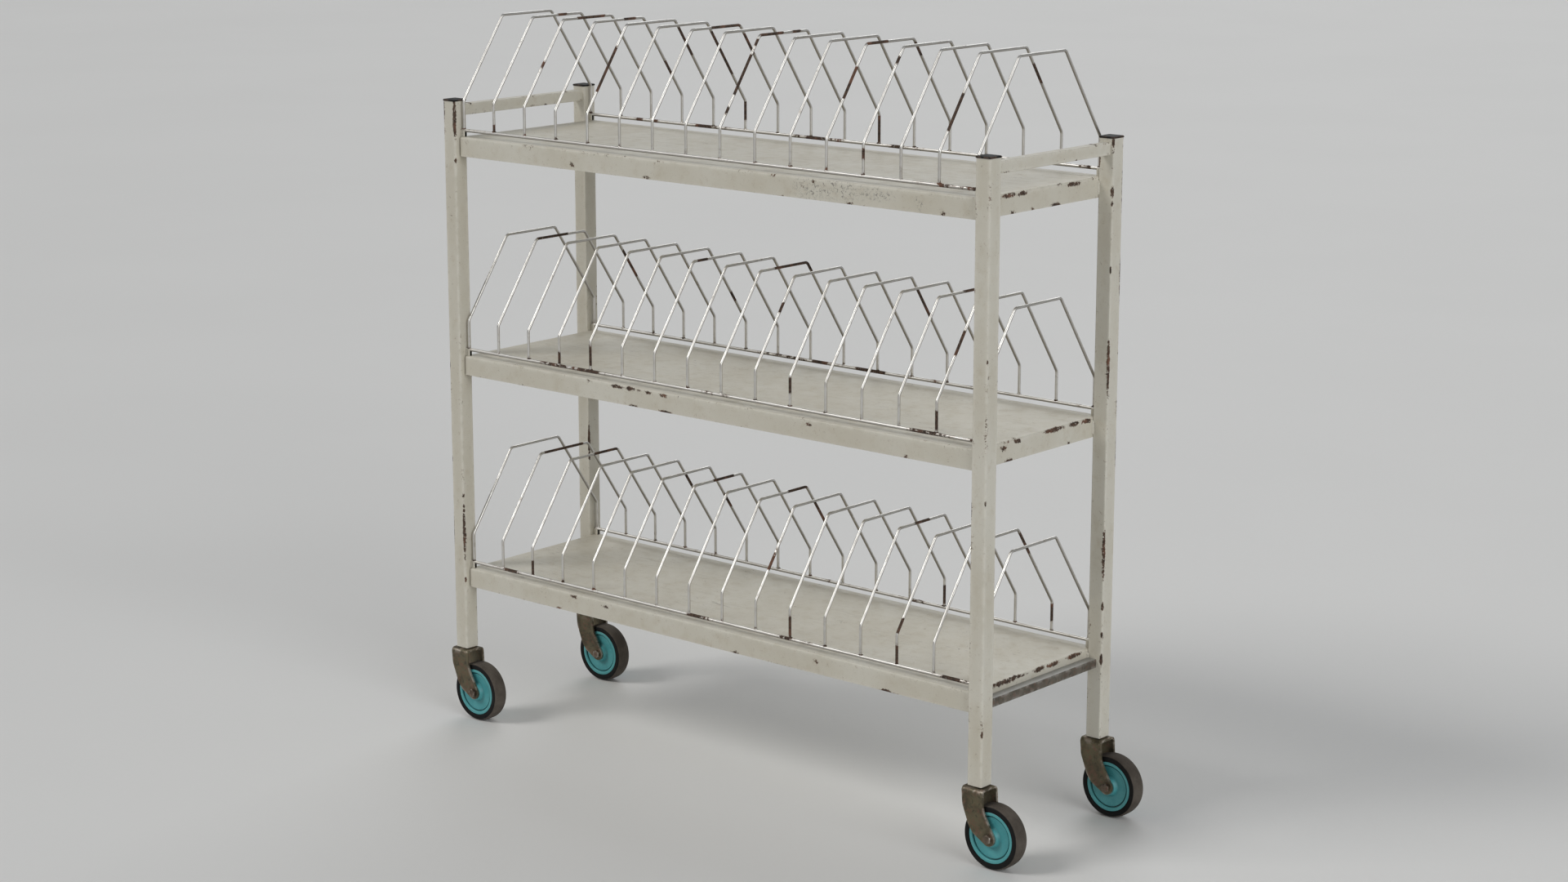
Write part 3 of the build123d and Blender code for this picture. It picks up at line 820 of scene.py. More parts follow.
def build_cap(corner):
    """Pressed-in black cap: a softly crowned plate over a hollow plug."""
    node = f"post_cap_{corner}"
    middle = middle_of(node)
    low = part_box(node)[0].z
    half = CAP_SIZE / 2
    outline = rounded_rectangle(half, half, 3.6 * MM, 4.0 * MM)
    bore = POST_SIZE / 2 - POST_WALL - 0.15 * MM
    shell = Shell()
    profile = [(0.0, 0.10, CAP_THICKNESS), (0.30, 0.0, CAP_THICKNESS),
               (0.62, 0.0, CAP_THICKNESS - 0.03 * MM),
               (0.84, 0.10, CAP_THICKNESS - 0.10 * MM), (0.92, 0.5, CAP_THICKNESS - 0.22 * MM),
               (0.965, 1.0, CAP_THICKNESS - 0.55 * MM), (0.99, 1.0, CAP_THICKNESS - 1.15 * MM),
               (1.0, 0.8, CAP_THICKNESS - 1.9 * MM), (1.0, 0.6, 0.35 * MM), (0.985, 1.0, 0.0),
               (bore / half, 0.0, 0.0), (bore / half, 0.0, low - POST_TOP),
               ((bore - 2.4 * MM) / half, 0.0, low - POST_TOP), ((bore - 2.4 * MM) / half, 0.0, -0.2 * MM),
               (0.0, 0.0, -0.2 * MM)]
    rows = []
    for scale, edge, z in profile:
        if scale == 0.0:
            rows.append(shell.add((middle.x, middle.y, POST_TOP + z)))
        else:
            rows.append([shell.add((middle.x + x * scale, middle.y + y * scale, POST_TOP + z), edge)
                         for x, y, _ in outline])
    shell.fan(rows[1], rows[0])
    shell.loft(rows[1:-1])
    shell.fan(rows[-2], rows[-1], flip=True)
    piece(f"cap_{corner}", shell, "frame", BLACK_PLASTIC, [node])


def tube_along_y(shell, middle, half_x, half_z, corner, wall, y_low, y_high, spacing):
    """A rectangular tube between two posts, open at its hidden ends."""
    outline = rounded_rectangle(half_x, half_z, corner, 3.5 * MM)
    scale_x = (half_x - wall) / half_x
    scale_z = (half_z - wall) / half_z
    rows = []
    for y in stops(y_low, y_high, spacing, (1.0 * MM, 3.0 * MM)):
        rows.append([shell.add((middle.x + x, y, middle.z + z), edge) for x, z, edge in outline])
    for y in (y_high, y_low):
        rows.append([shell.add((middle.x + x * scale_x, y, middle.z + z * scale_z)) for x, z, _ in outline])
    shell.loft(rows, close=True)


def build_rail(end):
    node = f"top_end_rail_{end}"
    low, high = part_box(node)
    shell = Shell()
    chips = []
    for y, above in RAIL_CHIPS:
        z = middle_of(node).z + above * size_of(node).z / 2
        chips.append(((middle_of(node).x, y * MM, z), (11 * MM, 4.2 * MM, 4.6 * MM), 1.0))
    tube_along_y(shell, middle_of(node), size_of(node).x / 2, size_of(node).z / 2, 1.8 * MM, 1.5 * MM,
                 low.y, high.y, 4.0 * MM)
    made = piece(f"end_rail_{end}", shell, "frame", CREAM, [node],
                 chips if end == "left" else chips[4:])
    add_rub(made)


def build_lower_bar(end):
    node = f"lower_end_bar_{end}"
    low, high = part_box(node)
    shell = Shell()
    tube_along_y(shell, middle_of(node), size_of(node).x / 2, size_of(node).z / 2, 1.2 * MM, 1.6 * MM,
                 low.y, high.y, 5.0 * MM)
    piece(f"lower_bar_{end}", shell, "frame", BAR_STEEL, [node])


def tray_axis(half, radius, spacing):
    """Grid places across a tray top, with two in each rounded corner."""
    inner = half - radius
    return ([-half, -half + radius * 0.617] + stops(-inner, inner, spacing, (6 * MM, 14 * MM))
            + [half - radius * 0.617, half])


def build_tray(level):
    """One sheet folded down on all four sides, thickened to its real gauge."""
    node = f"tray_{level}"
    surface = tray_surface(level)
    shell = Shell()
    top_radius = TRAY_CORNER - TRAY_BEND
    half_x = TRAY_LENGTH / 2 - TRAY_BEND
    half_y = TRAY_DEPTH / 2 - TRAY_BEND
    xs = tray_axis(half_x, top_radius, 9.0 * MM)
    ys = tray_axis(half_y, top_radius, 8.0 * MM)
    last_x = len(xs) - 1
    last_y = len(ys) - 1

    def on_corner(i, j):
        """Angle (0 to 90 degrees) round the nearest corner of a boundary place, or None."""
        in_x = min(i, last_x - i)
        in_y = min(j, last_y - j)
        if in_x > 2 or in_y > 2 or (in_x and in_y):
            return None
        return math.pi / 8 * (2 + in_y - in_x) if in_x == 0 or in_y == 0 else None

    def plan(i, j, radius, reach_x, reach_y):
        """Place and outward direction of a boundary vertex, for one corner radius."""
        side_x = -1 if i < last_x / 2 else 1
        side_y = -1 if j < last_y / 2 else 1
        angle = on_corner(i, j)
        if angle is not None:
            out = Vector((side_x * math.sin(angle), side_y * math.cos(angle)))
            centre = Vector((side_x * (reach_x - radius), side_y * (reach_y - radius)))
            return centre + radius * out, 1.0
        if i in (0, last_x):
            return Vector((side_x * reach_x, ys[j])), near(reach_y - radius - abs(ys[j]), 4 * MM)
        return Vector((xs[i], side_y * reach_y)), near(reach_x - radius - abs(xs[i]), 4 * MM)

    def sag(x, y):
        """The slight unevenness of a pressed sheet."""
        inside = min(1.0, (half_x - abs(x)) / 0.05) * min(1.0, (half_y - abs(y)) / 0.05)
        swell = noise.noise(Vector((x * 5.0, y * 7.0, surface * 3.0)))
        return max(0.0, inside) * (0.35 * swell - 0.35) * MM

    grid = {}
    for i, x in enumerate(xs):
        for j, y in enumerate(ys):
            if i in (0, last_x) or j in (0, last_y):
                place, _ = plan(i, j, top_radius, half_x, half_y)
                edge = 0.75
            else:
                place = Vector((x, y))
                edge = 0.75 * near(min(half_x - abs(x), half_y - abs(y)), 3 * MM)
            grid[i, j] = shell.add((FRAME_X + place.x, place.y, surface + sag(place.x, place.y)), edge)
    for i in range(last_x):
        for j in range(last_y):
            shell.faces.append((grid[i, j], grid[i + 1, j], grid[i + 1, j + 1], grid[i, j + 1]))

    loop = [(i, 0) for i in range(last_x)] + [(last_x, j) for j in range(last_y)]
    loop += [(i, last_y) for i in range(last_x, 0, -1)] + [(0, j) for j in range(last_y, 0, -1)]
    rows = [[grid[key] for key in loop]]
    bend_steps = 6
    profile = []
    for k in range(1, bend_steps + 1):
        a = math.pi / 2 * k / bend_steps
        profile.append((TRAY_BEND * math.sin(a), TRAY_BEND * (1 - math.cos(a)), 0.9))
    for below in (4.6, 6.0, 8.0, 11.0, 15.0, 20.0, 25.0, 29.0, 32.0, 34.0, 35.4, 36.3):
        edge = max(near((below - 3.6) * MM), near(TRAY_FLANGE - below * MM, 2 * MM))
        profile.append((TRAY_BEND, below * MM, edge))
    profile.append((TRAY_BEND, TRAY_FLANGE, 1.0))
    for out, below, edge in profile:
        row = []
        for i, j in loop:
            place, corner_edge = plan(i, j, top_radius + out, half_x + out, half_y + out)
            point = (FRAME_X + place.x, place.y, surface - below)
            row.append(shell.add(point, max(edge, 0.8 * corner_edge)))
        rows.append(row)
    shell.loft(rows)
    made = piece(f"shelf_{level}", shell, "frame", TRAY_CREAM, [node],
                 local_patches(node, PATCHES), 60)
    add_rub(made, RUBS if level == "top" else ())
    modify(made, "SOLIDIFY", thickness=TRAY_SHEET, offset=-1.0, use_even_offset=True)
    modify(made, "BEVEL", width=0.25 * MM, segments=2, limit_method="ANGLE",
           angle_limit=math.radians(50), harden_normals=False)


def weld_bead(shell, start, end, out_a, out_b, leg):
    """A rippled fillet weld along a corner; out_a and out_b point away along its two faces."""
    start, end, out_a, out_b = Vector(start), Vector(end), Vector(out_a), Vector(out_b)
    steps = max(6, round((end - start).length / (1.3 * MM)))
    root = -(out_a + out_b) * 0.35 * MM
    rows = []
    for k in range(steps + 1):
        share = k / steps
        taper = math.sin(math.pi * min(1.0, max(0.04, min(share, 1 - share) * 7)) / 2)
        ripple = 1.0 + 0.10 * math.sin(k * 2.4) + 0.10 * (random.random() - 0.5)
        size = leg * taper * ripple
        centre = start.lerp(end, share)
        ring = [shell.add(centre + root, 0.0)]
        for m in range(7):
            a = math.pi / 2 * m / 6
            bulge = 1.0 - 0.18 * math.sin(2 * a)
            point = centre + out_a * size * math.cos(a) * bulge + out_b * size * math.sin(a) * bulge
            ring.append(shell.add(point, 0.25))
        rows.append(ring)
    shell.loft(rows)
    for ring, flip in ((rows[0], True), (rows[-1], False)):
        middle = sum((shell.points[i] for i in ring), Vector()) / len(ring)
        shell.fan(ring, shell.add(middle), flip)


def build_tray_welds(level):
    """Beads that hold each tray's end flanges to the posts' inner faces."""
    surface = tray_surface(level)
    shell = Shell()
    for side in SIDES.values():
        for end in ENDS.values():
            x = FRAME_X + end * TRAY_LENGTH / 2
            y = side * (middle_of("post_rear_right").y - POST_SIZE / 2)
            weld_bead(shell, (x, y, surface - 6 * MM), (x, y, surface - 33 * MM),
                      (end, 0, 0), (0, -side, 0), 3.0 * MM)
    made = piece(f"tray_welds_{level}", shell, "frame", CREAM)
    add_rub(made)


def build_rail_welds(end):
    """Beads round the inner and lower sides of an end rail's joints with the posts."""
    node = f"top_end_rail_{end}"
    low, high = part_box(node)
    inward = -ENDS[end]
    inner_x = low.x if inward < 0 else high.x
    shell = Shell()
    for side in SIDES.values():
        y = high.y if side > 0 else low.y
        weld_bead(shell, (inner_x, y, low.z + 2 * MM), (inner_x, y, high.z - 2 * MM),
                  (inward, 0, 0), (0, -side, 0), 2.2 * MM)
        weld_bead(shell, (low.x + 2 * MM, y, low.z), (high.x - 2 * MM, y, low.z),
                  (0, 0, -1), (0, -side, 0), 2.2 * MM)
    made = piece(f"rail_welds_{end}", shell, "frame", CREAM)
    add_rub(made)


# ---- Wire racks ----------------------------------------------------------------------------------


def wire(shell, path, side_axis, radius, sides=12, wear_at=None):
    """A round wire along a path that lies in the plane square to side_axis."""
    side_axis = Vector(side_axis)
    rows = []
    count = len(path)
    for k, point in enumerate(path):
        ahead = path[min(k + 1, count - 1)] - path[max(k - 1, 0)]
        across = ahead.normalized().cross(side_axis)
        wear_and_shade = wear_at(k) if wear_at else 0.0
        for_end = 0.72 if k in (0, count - 1) else 1.0
        ring = []
        for m in range(sides):
            a = 2 * math.pi * m / sides
            offset = (side_axis * math.cos(a) + across * math.sin(a)) * radius * for_end
            ring.append(shell.add(point + offset, 0.0, wear_and_shade))
        rows.append(ring)
    shell.loft(rows)
    shell.fan(rows[0], shell.add(path[0] - (path[1] - path[0]).normalized() * radius * 0.25), flip=True)
    shell.fan(rows[-1], shell.add(path[-1] + (path[-1] - path[-2]).normalized() * radius * 0.25))


STRETCHES = ("front_leg", "front_slope", "top", "rear_slope", "rear_leg")


def hoop_corners(level):
    """The five straight stretches of a hoop, from its front foot to its rear foot."""
    rod_z = rod_height(level)
    shoulder = tray_surface(level) + HOOP_SHOULDER_RISE
    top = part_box(f"hoops_{level}")[1].z - HOOP_RADIUS
    front = [(-HOOP_FOOT_Y, rod_z), (-HOOP_FOOT_Y, shoulder), (-HOOP_TOP_Y, top)]
    rear = [(-y, z) for y, z in reversed(front)]
    return [Vector((0, y, z)) for y, z in front + rear]


def rust_spans(level, index):
    """Rusted parts of one hoop as (stretch number, from, to), counted from the front foot."""
    found = []
    for hoop, name, low, high in HOOP_RUST[level]:
        if hoop == index:
            if name in ("front_leg", "front_slope"):
                low, high = 1 - high, 1 - low
            found.append((STRETCHES.index(name), low, high))
    return found


def along_stretch(point, corners):
    """Which stretch a point lies on and how far along it, as a share."""
    best = None
    for k, (a, b) in enumerate(zip(corners, corners[1:])):
        run = b - a
        share = (point - a).dot(run) / run.length_squared
        nearest = a + run * min(1.0, max(0.0, share))
        gap = (point - nearest).length
        if best is None or gap < best[0]:
            best = (gap, k, share, run.length)
    return best[1:]


def build_hoops(level):
    shell = Shell()
    corners = hoop_corners(level)
    path = rounded_path(corners, HOOP_BEND, 7, 5.0 * MM)
    path = [p for k, p in enumerate(path) if k == 0 or (p - path[k - 1]).length > 0.05 * MM]
    along = [along_stretch(p, corners) for p in path]
    rod_z = rod_height(level)
    for index in range(HOOP_COUNT):
        x = FRAME_X + (index - (HOOP_COUNT - 1) / 2) * HOOP_PITCH
        spans = rust_spans(level, index)
        lean = random.uniform(-0.5, 0.5) * MM / 0.21
        stray = random.uniform(0.0, 100.0)

        def rust_here(k):
            stretch, share, length = along[k]
            best = 0.0
            for at_stretch, low, high in spans:
                if at_stretch == stretch:
                    beyond = max(low - share, share - high, 0.0) * length
                    best = max(best, 1.0 - beyond / (7 * MM))
            scatter = noise.noise(Vector((stray, k * 0.13, 0.0)))
            patchy = 0.70 + 0.6 * noise.noise(Vector((stray, path[k].y * 9, 3)))
            foot = near(path[k].z - rod_z, 8 * MM) * patchy
            return max(best, foot, 0.45 * max(0.0, scatter))

        leaned = [Vector((x + lean * (p.z - rod_z), p.y, p.z)) for p in path]
        wire(shell, leaned, (1, 0, 0), HOOP_RADIUS, 12, rust_here)
    piece(f"wire_hoops_{level}", shell, "frame", WIRE, [f"hoops_{level}"])


def build_rods(level):
    """The two long rods that the hoops stand on."""
    node = f"rack_rods_{level}"
    low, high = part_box(node)
    shell = Shell()
    for side in SIDES.values():
        y = side * HOOP_FOOT_Y
        places = stops(low.x, high.x, 6 * MM, (0.5 * MM, 1.5 * MM))
        path = [Vector((x, y, middle_of(node).z)) for x in places]

        def rust_here(k):
            low_beat = noise.noise(Vector((path[k].x * 6.5, side * 4.0, low.z * 9.0)))
            high_beat = noise.noise(Vector((path[k].x * 28.0, side * 7.0, low.z * 5.0)))
            return max(0.0, 1.5 * low_beat + 0.9 * high_beat - 0.12)

        wire(shell, path, (0, 1, 0), ROD_RADIUS, 16, rust_here)
    piece(f"long_rods_{level}", shell, "frame", WIRE, [node])


def blob(shell, centre, half, wear_and_shade, seed, rings=7, sides=12):
    """A small lump of weld metal with an uneven skin."""
    rows = []
    for r in range(1, rings):
        polar = math.pi * r / rings
        row = []
        for m in range(sides):
            a = 2 * math.pi * m / sides
            level_part = math.sin(polar)
            direction = Vector((level_part * math.cos(a), level_part * math.sin(a), math.cos(polar)))
            bumpy = 1.0 + 0.22 * noise.noise(direction * 1.7 + Vector((seed, 0, 0)))
            point = Vector(centre) + Vector([direction[i] * half[i] * bumpy for i in range(3)])
            row.append(shell.add(point, 0.0, wear_and_shade))
        rows.append(row)
    shell.loft(rows)
    shell.fan(rows[0], shell.add(Vector(centre) + Vector((0, 0, half[2])), 0.0, wear_and_shade), flip=True)
    shell.fan(rows[-1], shell.add(Vector(centre) - Vector((0, 0, half[2])), 0.0, wear_and_shade))


def build_foot_welds(level):
    """Where each hoop's leg meets its rod: a small lump of weld metal, browner on some."""
    shell = Shell()
    z = rod_height(level)
    for side in SIDES.values():
        for index in range(HOOP_COUNT):
            x = FRAME_X + (index - (HOOP_COUNT - 1) / 2) * HOOP_PITCH
            rusty = random.choice((0.35, 0.55, 0.8, 1.0))
            length = random.uniform(3.6, 5.4) * MM
            shift = random.uniform(-0.9, 0.9) * MM
            centre = (x + shift, side * (HOOP_FOOT_Y - 0.2 * MM), z + random.uniform(2.3, 3.1) * MM)
            blob(shell, centre, (length, 3.1 * MM, random.uniform(1.7, 2.3) * MM), rusty, x * 50 + side)
    piece(f"foot_welds_{level}", shell, "frame", WIRE)


def build_seats(level):
    """The four blocks that the rods' ends rest on, rounded by their paint."""
    node = f"rod_seats_{level}"
    low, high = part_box(node)
    surface = tray_surface(level)
    length = SEAT_LENGTH
    width = SEAT_WIDTH
    rod_z = rod_height(level)
    shell = Shell()
    for side in SIDES.values():
        for end in ENDS.values():
            x = (high.x if end > 0 else low.x) - end * length / 2
            y = side * HOOP_FOOT_Y
            outline = rounded_rectangle(length / 2, width / 2, 1.2 * MM, 1.6 * MM, 3)
            levels = [(0.96, surface + 0.05 * MM), (1.0, surface + 0.5 * MM)]
            levels += [(1.0, surface + (rod_z - surface) * k / 5) for k in range(1, 5)]
            levels += [(1.0, rod_z - 0.9 * MM), (0.93, rod_z - 0.2 * MM), (0.80, rod_z)]
            rows = []
            for s, z in levels:
                rows.append([shell.add((x + px * s, y + py * s, z), 0.7 * e) for px, py, e in outline])
            shell.loft(rows)
            shell.fan(rows[0], shell.add((x, y, levels[0][1])), flip=True)
            shell.fan(rows[-1], shell.add((x, y, rod_z)))
    made = piece(f"rod_feet_{level}", shell, "frame", CREAM, [node])
    add_rub(made)


# ---- Casters ---------------------------------------------------------------------------------------


class Caster:
    """The places of one caster: the kingpin's axis, the axle and the fork's main heights."""

    def __init__(self, corner):
        self.corner = corner
        self.post = middle_of(f"post_{corner}")
        self.axle = middle_of(f"wheel_hub_{corner}")
        self.fork_body = f"fork_{corner}"
        self.wheel_body = f"wheel_{corner}"
        self.crown_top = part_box(f"caster_fork_{corner}")[1].z
        self.fork_half = size_of(f"caster_fork_{corner}").y / 2
        self.trail = self.axle.x - self.post.x


def leg_edges(c):
    """The fork leg's leading and trailing edges in side view, from the crown to its round end."""
    half = FORK_HALF_LENGTH
    top = c.crown_top
    eye = Vector((c.trail, 0, c.axle.z))
    leading = [(-half, top), (-half + 2.5 * MM, top - 31 * MM), (-half + 16 * MM, top - 66 * MM),
               (-half + 25.5 * MM, top - 79 * MM), (c.trail - 6.5 * MM, c.axle.z - 11.26 * MM)]
    trailing = [(half, top), (half + 2.3 * MM, top - 36 * MM), (c.trail + 11.3 * MM, c.axle.z + 6.42 * MM)]

    def round_end(first, last):
        return [eye + FORK_EYE * Vector((math.cos(math.radians(a)), 0, math.sin(math.radians(a))))
                for a in [first + (last - first) * k / 12 for k in range(1, 13)]]

    lead = rounded_path([Vector((x, 0, z)) for x, z in leading], 24 * MM, 6, 3 * MM) + round_end(-120, -60)
    trail = rounded_path([Vector((x, 0, z)) for x, z in trailing], 40 * MM, 6, 3 * MM) + round_end(30, -42)
    return lead, trail


def at_share(path, share):
    """The point that lies a share of the way along a path."""
    lengths = [(b - a).length for a, b in zip(path, path[1:])]
    left = share * sum(lengths)
    for k, length in enumerate(lengths):
        if left <= length:
            return path[k].lerp(path[k + 1], left / max(length, 1e-9))
        left -= length
    return path[-1].copy()


def at_height(path, z):
    """The point of a falling path at a height near its start."""
    for a, b in zip(path, path[1:]):
        if a.z >= z >= b.z and a.z > b.z:
            return a.lerp(b, (a.z - z) / (a.z - b.z))
    return path[0].copy()


def build_fork(c):
    """A strip pressed to an inverted U, its legs swept back and embossed inside their edges."""
    lead, trail = leg_edges(c)
    bend = FORK_BEND
    columns = [0, 0.03, 0.08, 0.14] + [0.14 + 0.72 * k / 14 for k in range(1, 14)] + [0.86, 0.92, 0.97, 1.0]
    leg_rows = []
    straight_z = c.crown_top - bend
    lead_below = [at_height(lead, straight_z)] + [p for p in lead if p.z < straight_z]
    trail_below = [at_height(trail, straight_z)] + [p for p in trail if p.z < straight_z]
    shares = [k / 34 for k in range(1, 34)] + [0.985, 0.994, 1.0]
    for share in shares:
        leg_rows.append((at_share(lead_below, share), at_share(trail_below, share), c.fork_half))
    bend_rows = []
    for k in range(1, 9):
        a = math.pi / 2 * k / 8
        z = straight_z + bend * math.cos(a)
        bend_rows.append((at_height(lead, z), at_height(trail, z), c.fork_half - bend + bend * math.sin(a)))
    crown_rows = [(lead[0], trail[0], y * MM) for y in (3.0, 7.0, 11.0, (c.fork_half - bend) / MM)]
    half_rows = crown_rows + bend_rows + leg_rows

    def place(first, last, y, share):
        """A strip point and its edge number (rubbed edges and painted highlights): pressed in below the
        shoulder, away from the edges.
        """
        p = first.lerp(last, share)
        width = (last - first).length
        from_edge = min(share, 1 - share) * width
        arch = c.crown_top - (12.0 + 7.0 * (2 * share - 1) ** 2) * MM
        eye_far = (p - Vector((c.trail, 0, c.axle.z))).length
        depth = min(1.0, max(0.0, (from_edge - 3.4 * MM) / (2.6 * MM)))
        depth *= min(1.0, max(0.0, (arch - p.z) / (4.0 * MM)))
        depth *= min(1.0, max(0.0, (eye_far - 14.0 * MM) / (5.0 * MM)))
        depth = depth * depth * (3 - 2 * depth)
        # Besides the rubbed strip edges, the edge number paints highlights: a band on the shoulder bend and
        # a faint one on the emboss's slope.
        shoulder = near(abs(p.z - (c.crown_top - 4.0 * MM)), 3.6 * MM) if y > c.fork_half - 7.5 * MM else 0.0
        edge = max(near(from_edge, 1.5 * MM), 0.85 * shoulder, 0.5 * depth * (1 - depth))
        return p, y - FORK_EMBOSS * depth, edge

    shell = Shell()
    rows = []
    for side, ordered in ((-1, list(reversed(half_rows))), (1, half_rows)):
        for first, last, y in ordered:
            row = []
            for share in columns:
                p, out, edge = place(first, last, y, share)
                row.append(shell.add((c.post.x + p.x, c.post.y + side * out, p.z), edge))
            rows.append(row)
        if side < 0:
            first, last, _ = crown_rows[0]
            rows.append([shell.add((c.post.x + first.lerp(last, s).x, c.post.y, c.crown_top),
                                   near(min(s, 1 - s) * 2 * FORK_HALF_LENGTH, 1.5 * MM)) for s in columns])
    shell.loft(rows, round_rows=False)
    made = piece(f"fork_{c.corner}_strip", shell, c.fork_body, FORK_STEEL,
                 [f"caster_fork_{c.corner}"], sharp_angle=60)
    flip_outward(made, Vector((c.post.x, c.post.y, c.axle.z + 10 * MM)))
    modify(made, "SOLIDIFY", thickness=FORK_SHEET, offset=-1.0, use_even_offset=True)
    modify(made, "BEVEL", width=0.55 * MM, segments=3, limit_method="ANGLE",
           angle_limit=math.radians(45), harden_normals=False)


def flip_outward(made, inside):
    """Turns the faces of an open sheet so that they look away from a point inside it."""
    work = bmesh.new()
    work.from_mesh(made.data)
    away = sum(1 if f.normal.dot(f.calc_center_median() - inside) > 0 else -1 for f in work.faces)
    if away < 0:
        bmesh.ops.reverse_faces(work, faces=work.faces)
    work.to_mesh(made.data)
    work.free()


def hexagon_head(shell, centre, out, height, dome=0.0):
    """A hexagon along Y with its outer corners turned off. A negative dome dishes its middle."""
    segments = 72
    apothem = HEXAGON_APOTHEM
    corner = apothem / math.cos(math.pi / 6)
    rows = []
    heights = [0.0, 0.12, 0.5, 0.72, 0.80, 0.86, 0.91, 0.95, 0.975, 1.0]
    for h in heights:
        y = centre[1] + out * height * h
        turned_off = corner - max(0.0, h - 0.72) / 0.28 * (corner - apothem * 0.95)
        inset = 0.25 * MM if h == 0.0 else 0.0
        ring = []
        for m in range(segments):
            a = 2 * math.pi * m / segments
            local = (a + math.pi / 6) % (math.pi / 3) - math.pi / 6
            flat = min(apothem / math.cos(local), corner - 0.25 * MM)
            radius = min(flat, turned_off) - inset
            near_corner = 1.0 if abs(local) > math.pi / 6 - 0.12 else 0.15
            edge = max(near_corner, 0.9 if h > 0.7 else 0.0)
            point = (centre[0] + radius * math.cos(a), y, centre[2] + radius * math.sin(a))
            ring.append(shell.add(point, edge if h < 0.99 else 0.8))
        rows.append(ring)
    inner = [(0.80, 1.0, 0.35), (0.45, 1.0, 0.1)]
    for scale, h, edge in inner:
        ring = []
        for m in range(segments):
            a = 2 * math.pi * m / segments
            r = apothem * scale
            y = centre[1] + out * (height * h + dome * (1 - scale))
            ring.append(shell.add((centre[0] + r * math.cos(a), y, centre[2] + r * math.sin(a)), edge))
        rows.append(ring)
    shell.loft(rows)
    top = shell.add((centre[0], centre[1] + out * (height + dome), centre[2]))
    base = shell.add((centre[0], centre[1], centre[2]))
    shell.fan(rows[0], base, flip=True)
    shell.fan(rows[-1], top)


def build_axle(c):
    """Bolt head on the front leg, shank through the hub, nut and thread end on the rear leg."""
    bolt_low, bolt_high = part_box(f"axle_bolt_{c.corner}")
    nut_low, nut_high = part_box(f"axle_nut_{c.corner}")
    front = c.axle.y - c.fork_half
    shell = Shell()
    hexagon_head(shell, (c.axle.x, front, c.axle.z), -1, front - bolt_low.y, -0.25 * MM)
    y = nut_high.y - 0.3 * MM
    shank = [(0.0, front + 0.5 * MM, 0.0), (AXLE_RADIUS, front + 0.5 * MM, 0.0), (AXLE_RADIUS, y, 0.0)]
    while y < bolt_high.y - 1.0 * MM:
        shank.append((AXLE_RADIUS - 0.45 * MM, y + THREAD_PITCH / 2, 0.1))
        shank.append((AXLE_RADIUS, y + THREAD_PITCH, 1.0))
        y += THREAD_PITCH
    shank += [(3.3 * MM, bolt_high.y - 0.2 * MM, 0.8), (2.9 * MM, bolt_high.y, 0.5), (0.0, bolt_high.y, 0.0)]
    lathe(shell, shank, (c.axle.x, 0, c.axle.z), "y", 36, closed=False)
    piece(f"axle_{c.corner}", shell, c.fork_body, BOLT_STEEL, [f"axle_bolt_{c.corner}"])

    shell = Shell()
    hexagon_head(shell, (c.axle.x, nut_low.y, c.axle.z), 1, nut_high.y - nut_low.y)
    piece(f"nut_{c.corner}", shell, c.fork_body, BOLT_STEEL, [f"axle_nut_{c.corner}"])


def build_kingpin(c):
    """Domed rivet head under the crown, with its shank up into the post."""
    low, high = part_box(f"kingpin_{c.corner}")
    head_top = low.z + KINGPIN_HEAD
    profile = [(0.0, low.z, 0.1), (3.0 * MM, low.z + 0.15 * MM, 0.2), (5.6 * MM, low.z + 0.8 * MM, 0.4),
               (7.8 * MM, low.z + 2.1 * MM, 0.6), (9.3 * MM, low.z + 3.8 * MM, 0.9),
               (10.0 * MM, low.z + 5.4 * MM, 1.0), (9.8 * MM, head_top, 0.7),
               (KINGPIN_RADIUS, head_top, 0.0),
               (KINGPIN_RADIUS, high.z, 0.0), (0.0, high.z, 0.0)]
    shell = Shell()
    lathe(shell, profile, (c.post.x, c.post.y, 0), "z", 48, closed=False)
    piece(f"pivot_pin_{c.corner}", shell, "frame", BOLT_STEEL, [f"kingpin_{c.corner}"])


def build_washer(c):
    low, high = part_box(f"thrust_washer_{c.corner}")
    outer = size_of(f"thrust_washer_{c.corner}").x / 2
    bore = KINGPIN_RADIUS
    corners = [(bore, low.z), (outer, low.z), (outer, high.z), (bore, high.z)]
    profile = smooth_profile(corners, {1: 0.45 * MM, 2: 0.45 * MM}, 3)
    shell = Shell()
    lathe(shell, profile, (c.post.x, c.post.y, 0), "z", 64)
    piece(f"washer_{c.corner}", shell, "frame", BOLT_STEEL, [f"thrust_washer_{c.corner}"])


